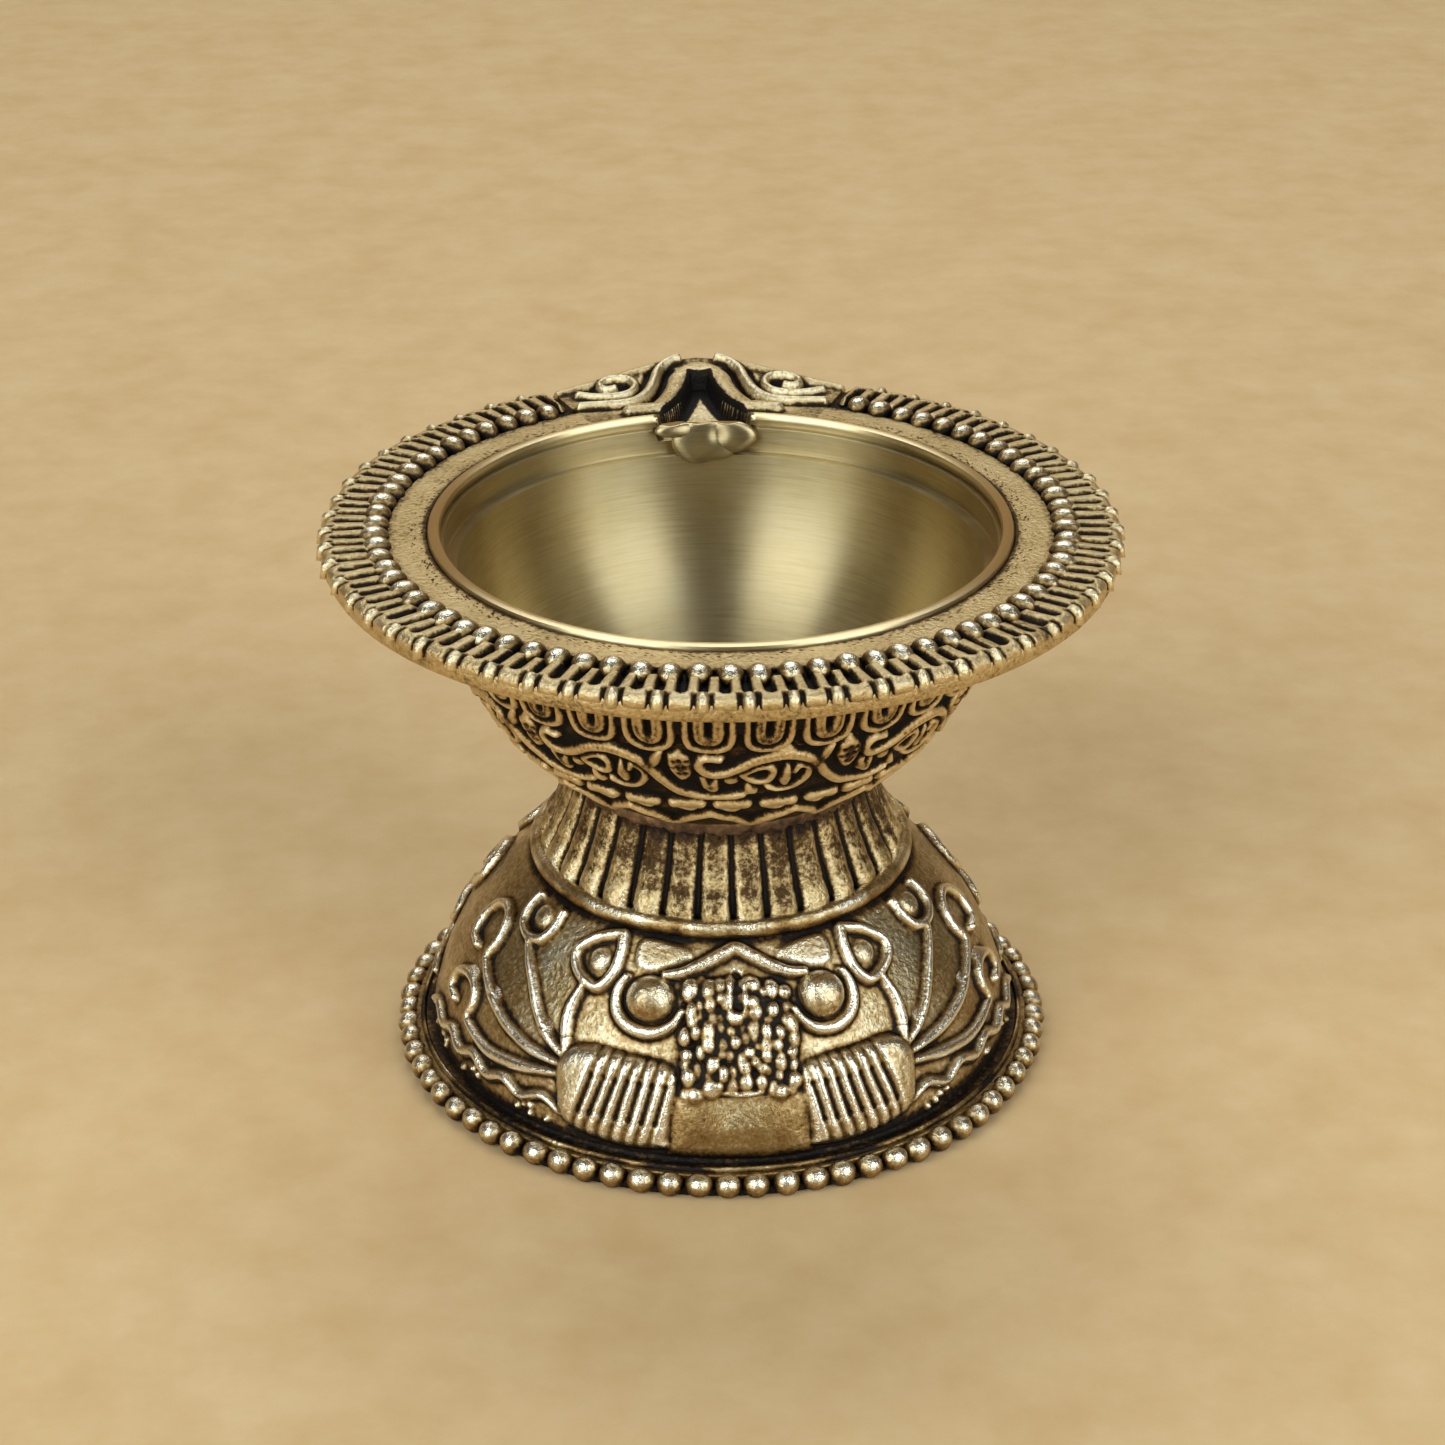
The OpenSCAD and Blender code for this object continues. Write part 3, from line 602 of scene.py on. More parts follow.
# %% The turned bowl
LIP_LOW, BAND_TOP, LIP_EDGE = LIP_TOP - 1.0, LIP_TOP - 1.6, LIP_TOP - 0.42
well_top = BAND_TOP - 2.4
well_lat = math.asin((well_top - BOWL_Z) / INNER_R)
well = [
    (INNER_R * math.cos(t), BOWL_Z + INNER_R * math.sin(t))
    for t in np.linspace(-math.pi / 2 + 0.002, well_lat, 64)]
inside = well + near(BAND_R, well_top, (-0.15, 0), (0, 0.15)) + near(BAND_R, BAND_TOP, (0, -0.1), (0.1, 0))
inside += near(LIP_IN, BAND_TOP, (0.3, 0.05)) + near(LIP_IN, LIP_LOW, (0.3, -0.1), (0, 0))
lip = near(LIP_IN, LIP_EDGE, (0, -0.35), (0.12, -0.1), (0.4, 0))
lip += near(LIP_R, LIP_EDGE, (-0.4, 0), (-0.1, -0.1), (0, -0.3))
wall = [(LIP_R, RIM_Z), (LIP_R, SEAT_Z), (BELT_R, SEAT_Z), (BELT_R, SEAT_Z - 0.8)]
back = [bowl_ball.point(s, -0.45) for s in np.linspace(4.2, 25.6, 24)]
spigot = [(5.0, 24.9), (5.0, FOOT_H - FOOT_WALL), (0.05, FOOT_H - FOOT_WALL)]
outline = inside + lip + wall + back + spigot
bowl_cup = piece("bowl_cup_turned", spun(outline, 384), turned_finish, ["bowl_cup"], 35)
lower_channel(bowl_cup)

# %% [markdown]
# ## Ornament of the bowl
# Three bands of ornament run round the bowl under the rim: double arches, a vine with buds and leaves, and
# a row of dashes over lotus petals. Each band is a thin skin on the bowl's ball, pushed out by its drawing.


# %% The arches
ARCH_TILE = 12.0


def on_side(points, side):
    """Places on the right, where side is 1, or mirrored to the left, where it is -1."""
    return [(side * a, s) for a, s in points]


arches = Drawing(ARCH_TILE, 3.2, 9.2, bowl_ball.radius_at)
outer_arm = [(-4.6, 2.4), (-4.6, 5.0), (-4.55, 6.8), (-3.9, 7.9), (-2.2, 8.35), (0, 8.45)]
inner_arm = [(-2.0, 2.4), (-2.0, 5.0), (-1.95, 6.6), (-1.3, 7.3), (0, 7.5)]
for arm, width in ((outer_arm, 0.82), (inner_arm, 1.2)):
    whole = [(a + ARCH_TILE / 2, s) for a, s in arm + on_side(arm[-2::-1], -1)]
    arches.line(whole, width, 0.72, ends=1.0, fullness=3.4)
arches.line([(0, 2.4), (0, 4.5), (0, 6.6)], 0.6, 0.55)
arches.settle(reach=5, contrast=2.8, level=0.26)
ornament_band(
    "bowl_arch_band", bowl_ball, (3.4, 9.05), 0.14, 0.7, 960, bowl_finish, ["bowl_arches"], arches, 1.0)

# %% The vine with its buds and leaves
VINE_TILE, VINE_TURN = 36.0, -3.7
vine = Drawing(VINE_TILE, 8.8, 15.8, bowl_ball.radius_at)
vine.line(
    [(0, 9.6), (-3, 9.5), (-4.4, 10.4), (-2.6, 11.4), (0.6, 11.5), (4, 10.9), (8, 9.9), (13, 9.5),
     (17.4, 10), (20.4, 11), (23.4, 12.7), (26.6, 14), (30, 14.7), (34, 15.1), (38, 15.2), (41, 14.8)],
    1.15, 0.78, fullness=3)
vine.line([(4.8, 11.9), (7, 11.2), (9.6, 10.9), (11.2, 11.6), (10.6, 12.7), (8.6, 13), (6.4, 12.6),
           (4.8, 11.9)], 0.78, 0.64, ends=1)
vine.line([(10.4, 13.9), (13.2, 14.4), (16.8, 14.1), (19.2, 12.9), (19, 11.6), (16.9, 11.1), (15.9, 11.9)],
          0.85, 0.66)
vine.leaf([(13.4, 13.8), (12.3, 12.6), (14.4, 10.9), (15.7, 12.6), (15.1, 13.8)], 0.62, 0.4)
vine.leaf([(24.6, 9.3), (27.6, 8.9), (30.6, 9.9), (30.2, 11.7), (27.8, 12.6), (25.2, 11.2)], 0.62, 0.5)
vine.leaf([(19.6, 10.6), (21.4, 9.5), (24.2, 8.7), (23.6, 10.3), (21.8, 11.2)], 0.62, 0.4)
vine.leaf([(-4.4, 11.9), (-2.2, 12.7), (-0.4, 12.2), (-0.2, 14.3), (-2.8, 14.2), (-3.9, 13.2)], 0.62, 0.45)
vine.leaf([(4.8, 14.9), (5.7, 13.2), (7.2, 13.8), (8.6, 14.8)], 0.62, 0.4)
vine.leaf([(31.2, 12.2), (33, 11.6), (33.6, 13.2), (32.2, 14)], 0.55, 0.4)
vine.dot(2.5, 12.7, 1.5, 0.55)
for angle, row in ((26.2, 10), (27.6, 9.8), (27.2, 10.7), (26, 10.9), (28.6, 10.6), (29.2, 9.9), (29, 11.4),
                   (27.4, 11.5)):
    vine.pit(angle, row, 0.34, 0.35)
for angle in np.arange(5.6, 18, 1.15):
    vine.pit(angle, 9.4 + 0.018 * (angle - 12.5) ** 2, 0.3, 0.25)
vine.settle(reach=7, contrast=2.6, level=0.2)
ornament_band(
    "bowl_vine_band", bowl_ball, (9.0, 15.55), 0.13, 0.7, 960, bowl_finish,
    ["bowl_vine", "bowl_buds", "bowl_leaves"], vine, 2.0, VINE_TURN)

# %% The dashes and the lotus petals
PETAL_TILE, PETAL_TURN = 22.5, 5.1
petals = Drawing(PETAL_TILE, 15.3, 26.2, bowl_ball.radius_at)
half = PETAL_TILE / 2
petals.leaf([(0, 22.1), (half / 2, 20.4), (half, 19.1), (half * 1.5, 20.4), (2 * half, 22.1),
             (2 * half, 27), (0, 27)], 0.35, 0.8, round_off=False)
edge = [(-half, 19.1), (-half / 2, 20.4), (0, 22.1), (half / 2, 20.4), (half, 19.1)]
petals.line(edge, 1.0, 0.78, ends=0.9)
for k in (0, 1):
    middle = k * half - 0.7 - PETAL_TURN
    dash = [(middle - 3.2, 16.9), (middle, 16.75), (middle + 3.2, 16.9)]
    petals.line(dash, 1.3, 0.75, ends=1, fullness=3.4)
    petals.line([(middle - 3.2, 17.9), (middle + 0.4, 18.5), (middle + 2.4, 17.9)], 0.6, 0.45)
petals.settle(reach=8, contrast=2.4, level=0.28)
ornament_band(
    "bowl_petal_band", bowl_ball, (15.5, 25.6), 0.16, 0.7, 800, bowl_finish,
    ["bowl_dashes", "bowl_petals"], petals, 3.0, PETAL_TURN)

# %% [markdown]
# ## The foot
# The foot is a hollow dome on a flat plate with a string of beads. Its shell is one spun outline. The
# ornament is a skin in two rings, split where the sheaves begin, so that each ring can be fine: a brow
# over two balls, columns of pebbles, sheaves of ribs beside a smooth panel, and feathers at the sides.

# %% The hollow shell
dome = [foot_ball.point(s, -0.5) for s in np.linspace(0.2, 19.4, 24)]
hollow = [
    ((DOME_R - FOOT_WALL) * math.cos(t), DOME_Z + (DOME_R - FOOT_WALL) * math.sin(t))
    for t in np.linspace(math.asin(-DOME_Z / (DOME_R - FOOT_WALL)), 0.86, 20)]
plate = [(27.0, GROOVE_Z + 0.15), (27.25, GROOVE_Z)] + near(BEAD_SEAT_R, GROOVE_Z, (-0.1, 0), (0, -0.1))
plate += near(BEAD_SEAT_R, LEDGE_Z, (0, 0.05), (0.05, 0))
plate += near(PLATE_R, LEDGE_Z, (-0.2, 0), (-0.06, -0.06), (0, -0.2)) + near(PLATE_R, 0, (0, 0.2), (-0.2, 0))
outline = [(BORE_R, FOOT_H), (CROWN_R - 0.4, FOOT_H)] + dome + plate + hollow
outline += [(BORE_R, FOOT_H - FOOT_WALL)]
foot_shell = piece("foot_shell_cast", spun(outline, 480), foot_finish, ["foot_shell"], 40)
co = places(foot_shell)
reach = np.hypot(co[:, 0], co[:, 1])
# Below the ledge the plate is near black: painted shade under and between the beads.
worn = np.where((reach > 28.0) & (co[:, 2] < 2.5), 0.36, 0.12)
set_wear_and_lighting(foot_shell, np.where(co[:, 2] < LEDGE_Z + 0.1, 0.08, worn))

# %% The foot's ground and brow
foot = Drawing(180.0, -0.3, 19.8, foot_ball.radius_at, 0.1)
chance = np.random.default_rng(7)
foot.height += 0.12 * blurred(chance.uniform(0, 1, foot.row.shape), 1)
brow = [(0, 0.9), (4, 1.5), (9, 2.5), (13.5, 3.3), (17.5, 3.6)]
foot.line(on_side(brow[:0:-1], -1) + brow, 1.35, 0.9)
print("foot drawing", foot.height.shape)

# %% Balls and pebbles
BALL_ANGLE, BALL_ROW = 20.4, 5.9
PEBBLE_COLUMNS, PEBBLE_ROWS = 5, 8


def draw_ball(side):
    """A ball under the brow, with a patch above it and a crescent round it."""
    foot.leaf(on_side([(11, 1.9), (14, 0.8), (25.5, 0.6), (26, 3.1), (20, 3.3)], side), 0.4, 0.5)
    foot.dot(side * BALL_ANGLE, BALL_ROW, 4.3, 2.0)
    arc = [(BALL_ANGLE + 7.8 * math.cos(math.radians(t)), BALL_ROW - 2.9 * math.sin(math.radians(t)))
           for t in range(35, -171, -20)]
    foot.line(on_side(arc, side), 1.35, 0.95, ends=0.5)


def draw_pebbles(side):
    """Columns of pebbles beside the middle, no two of them alike."""
    for column in range(PEBBLE_COLUMNS):
        for step in range(PEBBLE_ROWS):
            angle = 1.4 + 2.3 * column + 0.8 * chance.uniform(-1, 1)
            row = 4.2 + 1.2 * step + 0.25 * column + 0.4 * chance.uniform(-1, 1)
            size, tall = chance.uniform(1.3, 2.2), chance.uniform(0.9, 1.7)
            foot.dot(side * angle, row, size, chance.uniform(0.7, 1.2), tall)


print("pebbles on each side:", PEBBLE_COLUMNS * PEBBLE_ROWS)

# %% Sheaves
SHEAF_GROOVES, GROOVE_PITCH = 7, 2.5


def draw_sheaf(side):
    """A raised sheaf, its ribs parted by grooves that are deepest in the middle."""
    foot.leaf(on_side([(12.6, 12.4), (15, 11.3), (24, 10.9), (32.5, 10.9), (36.5, 12.2), (37.4, 14.4),
                       (34.8, 18), (24, 18.9), (13.6, 18.8), (12.8, 17.5)], side), 1.35, 1.6)
    for groove in range(1, SHEAF_GROOVES + 1):
        angle = 11.6 + GROOVE_PITCH * groove
        start = 11.0 + 0.4 * chance.uniform(-1, 1)
        head = [(angle - 0.4, start), (angle, 12.3), (angle + 0.3, 13.2)]
        body = [(angle + 0.3, 13.2), (angle + 1.8, 16.4)]
        tail = [(angle + 1.8, 16.4), (angle + 2.9, 18.6)]
        for part, width, depth in ((head, 0.4, 0.3), (body, 0.42, 0.55), (tail, 0.38, 0.3)):
            foot.cut(on_side(part, side), width, depth)


print("grooves in a sheaf:", SHEAF_GROOVES)

# %% Feathers and ruffles
DROP = [(31.6, 0.7), (36, 1.2), (40, 2.1), (42.6, 3.4), (41, 4.7), (37, 5.6), (33.3, 5.8), (30.6, 4.3),
        (30.5, 2.3), (31.6, 0.7)]
EYES = [[(53.4, 1.0), (53.2, 2.6), (55.2, 4), (59.5, 4.5), (63.8, 3.8), (65.6, 2.4), (65.2, 1.0)],
        [(68.5, 8.2), (67.6, 6.4), (69.6, 4.8), (73.6, 4.2), (78, 4.8), (80.2, 6.6), (78.6, 8.4),
         (74.8, 8.8)],
        [(66.2, 14.2), (65.6, 12.6), (67.8, 11.4), (72, 11.2), (76, 12), (76.6, 13.6), (73.4, 14.2)]]
STEMS = [[(37, 6.1), (38.2, 8.3), (37.8, 10.2), (36.6, 11.8)],
         [(58, 4.9), (51.6, 7.4), (46.4, 9.6), (41.4, 11.3), (36.6, 12.4)],
         [(68.4, 8.7), (62.4, 10.5), (55.4, 11.9), (46.4, 12.9), (37, 13.2)],
         [(65.6, 14.5), (56.4, 15.4), (47.4, 14.9), (37.6, 14.1)]]
RUFFLE = [(60 + 5 * i, 17 + (-0.4 if i % 2 == 0 else 0.4)) for i in range(-5, 6)]
GRAINS = 14


def draw_feathers(side):
    """A closed drop, three open eyes with their stems and studs, and a ruffled border with loose grains."""
    foot.line(on_side(DROP, side), 1.1, 0.85, ends=1)
    for eye in EYES:
        foot.line(on_side(eye, side), 1.1, 0.8, ends=0.8)
    for stem in STEMS:
        foot.line(on_side(stem, side), 1.25, 0.8, ends=0.75)
    foot.dot(side * 35.6, 3.4, 2.4, 0.55)
    foot.dot(side * 59.4, 2.2, 2.4, 0.5)
    foot.line(on_side(RUFFLE, side), 1.2, 0.8)
    for _ in range(GRAINS):
        foot.dot(side * chance.uniform(38, 86), chance.uniform(17.9, 18.9), chance.uniform(0.5, 0.9), 0.5)


print("stems and eyes on each side:", len(STEMS), len(EYES))

# %% The whole foot
for side in (-1, 1):
    draw_ball(side)
    draw_pebbles(side)
    draw_sheaf(side)
    draw_feathers(side)
foot.leaf([(-13.5, 13.7), (13.5, 13.7), (14.5, 19.4), (-14.5, 19.4)], 0.9, 4.6, round_off=False)
foot.line([(-4.5, 13.5), (0, 13.7), (4.5, 13.5)], 0.4, 0.7)
foot.cut([(0, 3.4), (0.3, 4.6), (0, 6.2)], 1.0, 0.4)
foot.settle(reach=5, contrast=2.5, level=0.54)
print("foot's highest place in mm:", round(float(foot.height.max()), 2))

# %% Wear, painted light and painted shade of the foot
from_front = np.abs((foot.angle + 90) % 180 - 90)
# Painted light: the foot is made a little lighter towards the front.
foot.patina_and_lighting += 0.04 * rising(60 - from_front, 10)
# Painted highlight and painted shade: each ball is lighter at its top and darker below.
ball_x, ball_y = (from_front - BALL_ANGLE) * foot.degree, foot.row - BALL_ROW
on_ball = rising(2.2 - np.hypot(ball_x, ball_y), 0.3)
foot.patina_and_lighting += on_ball * (0.68 - 0.12 * ball_y - foot.patina_and_lighting)
pebbled = rising(12.5 - from_front, 1.5)
pebbled *= rising(foot.row - 3.4, 0.6) * rising(13.4 - foot.row, 0.6)
# Painted shade: darker at the dome's top edge under the neck ring and at its bottom edge by the beads.
edge_shade = rising(foot.row - 18.3, 0.7) + rising(0.9 - foot.row, 0.6)
panel = (from_front < 13) & (foot.row > 13.9) & (foot.row < 18.7)
# Among the pebbles the contrast is raised and all is darker: painted shade between the pebbles.
foot.patina_and_lighting += pebbled * (1.2 * (foot.patina_and_lighting - 0.6) - 0.2)
foot.patina_and_lighting = np.clip(foot.patina_and_lighting - 0.45 * edge_shade, 0, 1)
foot.patina_and_lighting = np.where(panel, 0.25 * foot.patina_and_lighting + 0.3, foot.patina_and_lighting)
print("mean wear of the foot:", round(float(foot.patina_and_lighting.mean()), 2))

# %% The two rings of the foot's ornament
ornament_band(
    "foot_upper_ornament", foot_ball, (0.0, 10.8), 0.15, 0.8, 960, foot_finish,
    ["foot_brows", "foot_balls", "ball_crescents", "foot_pebbles", "feather_eyes", "feather_stems",
     "eye_studs"], foot, 5.0)
ornament_band(
    "foot_lower_ornament", foot_ball, (10.8, 19.45), 0.15, 0.8, 960, foot_finish,
    ["foot_sheaves", "foot_panels", "foot_ruffles"], foot, 5.0)

# %% [markdown]
# ## Neck
# The collar is a short cone with flutes that end in round bulbs, rough and mottled from the mould. A plain
# ring lies round its foot, and lumpy braze fills the corner under the bowl.

# %% The fluted collar
FLUTE_TILE, TOE = 360 / 32, 8.2
slant = math.hypot(COLLAR_TOP - FOOT_H, COLLAR_R - NECK_R)


def collar_point(row):
    share = row / slant
    return NECK_R + (COLLAR_R - NECK_R) * share, COLLAR_TOP + (FOOT_H - COLLAR_TOP) * share


flutes = Drawing(FLUTE_TILE, 0.0, slant, lambda s: collar_point(s)[0])
across, past_toe = flutes.offset(FLUTE_TILE / 2, TOE)
half_width = (0.47 + 0.02 * np.clip(flutes.row / 8, 0, 1)) * FLUTE_TILE * flutes.degree
share = np.hypot(across, np.maximum(past_toe, 0)) / half_width
ridge = crown(share, 2.1)
flutes.height = (0.6 + 0.7 * rising(flutes.row - 4, 4)) * ridge
flutes.height -= 0.13 * np.exp(-(((flutes.row - 6.4) / 0.6) ** 2)) * ridge
flutes.settle(reach=6, contrast=2.1, level=0.38)
flutes.patina_and_lighting -= 0.3 * rising(2.2 - flutes.row, 2) + 0.3 * rising(flutes.row - 9.3, 0.5)
down = np.linspace(0, slant, 56)
inside = [(BORE_R, FOOT_H), (BORE_R, COLLAR_TOP - 3), (NECK_R - 0.4, COLLAR_TOP)]
bm = spun([collar_point(s) for s in down] + inside, 800, list(down) + [PLAIN] * len(inside))
collar = piece("neck_collar_fluted", bm, collar_finish, ["neck_collar"], 80)
push_out(collar, flutes, 6.0, 0.3)

# %% The plain ring
RING_R, RING_Z, RING_TUBE = 16.85, 19.6, 0.85
ring = [(RING_R + RING_TUBE * math.cos(t), RING_Z + RING_TUBE * math.sin(t))
        for t in np.linspace(0, math.tau, 28, endpoint=False)]
neck_ring = piece("neck_ring_plain", spun(ring, 360), foot_finish, ["neck_ring"])
co = places(neck_ring)
angle = angle_of(co)
co[:, 2] += 0.08 * wander(angle, 0, 3.0)
set_places(neck_ring, co)
# Painted light and shade: the ring is lighter on top and darker underneath; the wander is uneven wear.
set_wear_and_lighting(neck_ring, 0.46 + 0.3 * (co[:, 2] - RING_Z) + 0.25 * wander(angle * 2, 0, 8.0))

# %% The braze
fillet = near(NECK_R, COLLAR_TOP, (-0.3, -1.0), (0.5, -1.1), (0.95, -0.7), (1.2, -0.1), (1.3, 0.5),
              (1.0, 0.9), (0.3, 1.1), (-0.3, 0.4))
braze = piece("neck_braze_fillet", spun(fillet, 480), braze_finish, ["neck_braze"])
co = places(braze)
angle = angle_of(co)
lumps = wander(angle * 4, 3 * co[:, 2], 2.0) + 0.8 * wander(angle * 9, 5 * co[:, 2], 5.0)
co[:, :2] *= (1 + 0.016 * lumps)[:, None]
set_places(braze, co)

# %% [markdown]
# ## Rim
# The rim is a flange that drops over the bowl's lip. Its flat band is plain, then come a string of beads
# and a fringe of looped wire, with a round tip at the edge between each two loops. The fringe is a skin
# drawn as slots between the wires. It fades out and dips under the spout.

# %% The flange
EDGE_R = RIM_R - 0.06
top = [(r, RIM_Z) for r in np.linspace(BORE_LIP + 0.15, PLAIN_R - 0.12, 26)]
step_down = [(PLAIN_R, RIM_Z - 0.12), (PLAIN_R, FLOOR_Z)]
floor_line = [(r, FLOOR_Z - 0.02) for r in np.linspace(PLAIN_R + 0.1, RIM_R - 0.6, 36)]
edge_line = near(EDGE_R, FLOOR_Z, (-0.3, 0.06), (-0.1, -0.02), (0, -0.2), (0, -1.3), (-0.15, -1.55),
                 (-0.5, -1.7))
under = [(33.0, 48.7), (31.0, 47.86), (29.0, 46.82)]
under += [(BELT_R, SEAT_Z), (BORE_LIP, SEAT_Z), (BORE_LIP, RIM_Z - 0.15)]
outline = top + step_down + floor_line + edge_line + under
flange = piece("rim_flange_cast", spun(outline, 720), rim_finish, ["rim_flange"], 40)
in_channel = lower_channel(flange)

# %% Wear and painted shade of the flange
across, along, height = places(flange).T
reach = np.hypot(across, along)
worn = np.where(height > RIM_Z - 0.05, 0.6, 0.55)
luck = np.zeros(len(reach))
luck[np.lexsort((across, along, height))] = np.random.default_rng(21).uniform(0, 1, len(reach))
specks = luck > 0.93
worn -= 0.45 * specks * rising(2 - 1.4 * np.abs(reach - BORE_LIP - 0.5))
# Painted shade: the plain band darkens next to the beads. It also darkens next to the lip.
worn -= 0.2 * rising(reach - PLAIN_R + 0.8, 0.7) * (reach < PLAIN_R)
worn -= 0.2 * rising(BORE_LIP + 0.8 - reach, 0.6) * (height > RIM_Z - 0.3)
worn = np.where((reach < BORE_LIP + 0.3) & (height > RIM_Z - 0.3), 0.3, worn)
# Near black under the bead string, in the fringe's slots and under the spout: patina and painted shade.
worn = np.where((reach > PLAIN_R - 0.1) & (reach < FRINGE_OUT) & (height > 50), 0.06, worn)
worn = np.where((np.abs(across) < 6) & (along > PLAIN_R), 0.05, worn)
worn = np.where(in_channel, channel_patina_and_lighting(across, along), worn)
set_wear_and_lighting(flange, worn)
print("mean wear of the flange:", round(float(worn.mean()), 2))

# %% The fringe's drawing
FRINGE_TILE, FRINGE_IN = 6.0, 31.35
path = [(r, FLOOR_Z) for r in np.linspace(FRINGE_IN, FRINGE_OUT, 28)]
path += near(0, FLOOR_Z, (34.5, 0), (34.65, -0.03), (34.78, -0.1), (34.85, -0.2))
run = np.concatenate([[0], np.cumsum(np.hypot(*np.diff(np.asarray(path), axis=0).T))])
last = float(run[-1])
fringe = Drawing(FRINGE_TILE, 0.0, last, lambda s: float(np.interp(s, run, [r for r, z in path])), 0.06)
wire_top = 0.25 + 0.55 * np.sqrt(1 - (1 - rising(last - fringe.row, 0.8)) ** 2)
fringe.height = wire_top
fringe.cut([(3, -0.5), (3, 1), (3, last - 1.15)], 0.85, 0.95)
fringe.cut([(0, -0.5), (0, 1), (0, last - 1.1)], 0.75, 0.9)
for side in (-1, 1):
    fringe.cut(on_side([(1.15, last - 0.7), (1.15, last), (1.15, last + 0.4)], side), 0.4, 0.5)
fringe.dot(0, last - 0.4, 1.3, 1.0)
fringe.settle()
fringe.patina_and_lighting = 0.66 + 2.4 * (fringe.height - wire_top)
print("loops in the fringe:", round(360 / FRINGE_TILE))


# %% The fringe
def fringe_left(angle):
    """1 round the rim, 0 where the spout sits, and less at a casting flaw at the right front."""
    flaw = 0.45 * np.exp(-(((angle - 47) / 2.5) ** 2)) + 0.3 * np.exp(-(((angle - 38) / 1.5) ** 2))
    return rising(180 - np.abs(angle) - 24.5, 1.5) * (1 - flaw)


bm = spun(path + [(34.4, 50.1), (FRINGE_IN, 50.5)], 1440, list(run) + [PLAIN] * 2)
rim_fringe = piece("rim_fringe_loops", bm, rim_finish, ["rim_fringe"], 80)
push_out(rim_fringe, fringe, 7.0, 0.25, keep=fringe_left)
co = places(rim_fringe)
co[:, 2] -= 1.1 * rising(np.abs(angle_of(co)) - 160, 8)
set_places(rim_fringe, co)


# %% The strings of beads
def bead_string(name, node, count, ring_r, height, size, shape, waist, seed, half_span=181):
    """Beads side by side on a circle, none quite like the next, up to half_span degrees from the front."""
    luck = np.random.default_rng(seed)
    bm = bmesh.new()
    note = bm.verts.layers.float.new("worn")
    for i in range(count):
        angle = (i + 0.5) * 360 / count
        if abs((angle + 180) % 360 - 180) >= half_span:
            continue
        verts = bmesh.ops.create_icosphere(bm, subdivisions=3, radius=size / 2)["verts"]
        for vert in verts:
            side, out, up = vert.co * 2 / size
            # Painted light and shade: each bead is lighter on top, darker underneath and at the sides where
            # it meets its neighbours.
            vert[note] = waist + (0.95 - waist) * up - 0.1 * out - 0.45 * side * side
        grown = [luck.uniform(0.94, 1.06) * width for width in shape]
        bmesh.ops.scale(bm, vec=grown, verts=verts)
        aside, out = luck.uniform(-0.1, 0.1), luck.uniform(-0.1, 0.1)
        up = height + luck.uniform(-0.06, 0.06)
        bmesh.ops.translate(bm, vec=(aside, -ring_r + out, up), verts=verts)
        turn = Matrix.Rotation(math.radians(angle), 4, "Z")
        bmesh.ops.transform(bm, matrix=turn, verts=verts)
    for vert in bm.verts:
        vert.co.z = max(vert.co.z, 0.02)
    bmesh.ops.scale(bm, vec=(MM, MM, MM), verts=bm.verts)
    piece(name, bm, foot_finish, [node])


bead_string(
    "foot_bead_string", "foot_beads", 72, ring_r=29.55, height=1.15, size=2.28, shape=(1.1, 0.95, 0.98),
    waist=0.5, seed=11)
bead_string(
    "rim_bead_string", "rim_beads", 80, ring_r=30.4, height=51.2, size=2.3, shape=(0.96, 1.12, 0.9),
    waist=0.25, seed=12, half_span=154)

# %% The wire in the base's groove
wire = [(WIRE_R + 0.26 * math.cos(t), GROOVE_Z + 0.4 * math.sin(t)) for t in np.linspace(0, math.pi, 9)]
base_wire = piece("base_wire_ring", spun(wire, 360), foot_finish, ["base_wire"])
co = places(base_wire)
# Painted light and shade: the wire is near black at its foot in the groove and lighter towards its top; the
# wander is uneven wear.
set_wear_and_lighting(base_wire, 0.02 + 0.9 * (co[:, 2] - GROOVE_Z) + 0.35 * wander(angle_of(co) * 2, 0, 1.0))

# %% [markdown]
# ## Spout
# At the back the rim is drawn out to a point for the wick. Two ribs wall the channel and meet at the point,
# a second wire follows each of them, and a scroll curls in a hollow on each side. It could be built bar by
# bar, but the real one is a single soft casting, so it is drawn as a height over a grid that is bent to the
# rim and extruded down into the flange.


# %% The spout's lines
SPOUT_HALF, SPOUT_SPAN, SKIN_IN, SKIN_Z = 26.0, 24.0, 26.0, RIM_Z - 0.42
TIP_OUT, TIP_LIFT = 2.4, 1.6
spout = Drawing(60.0, 0.0, 11.6, lambda s: SKIN_IN + s)
turn = np.radians((spout.angle + 30) % 60 - 30)
across, along = (SKIN_IN + spout.row) * np.sin(turn), (SKIN_IN + spout.row) * np.cos(turn)


def spout_edge(angle):
    return RIM_R + TIP_OUT * np.maximum(0.0, 1 - np.abs(angle) / SPOUT_HALF) ** 1.2


def on_spout(points):
    """Places given in millimetres across and along the spout, as angles and rows of its drawing."""
    return [(math.degrees(math.atan2(x, y)), math.hypot(x, y) - SKIN_IN) for x, y in points]


def channel_side(share, gap):
    return channel_half(share) + gap, LIP_IN + (CHANNEL_TIP - LIP_IN) * share


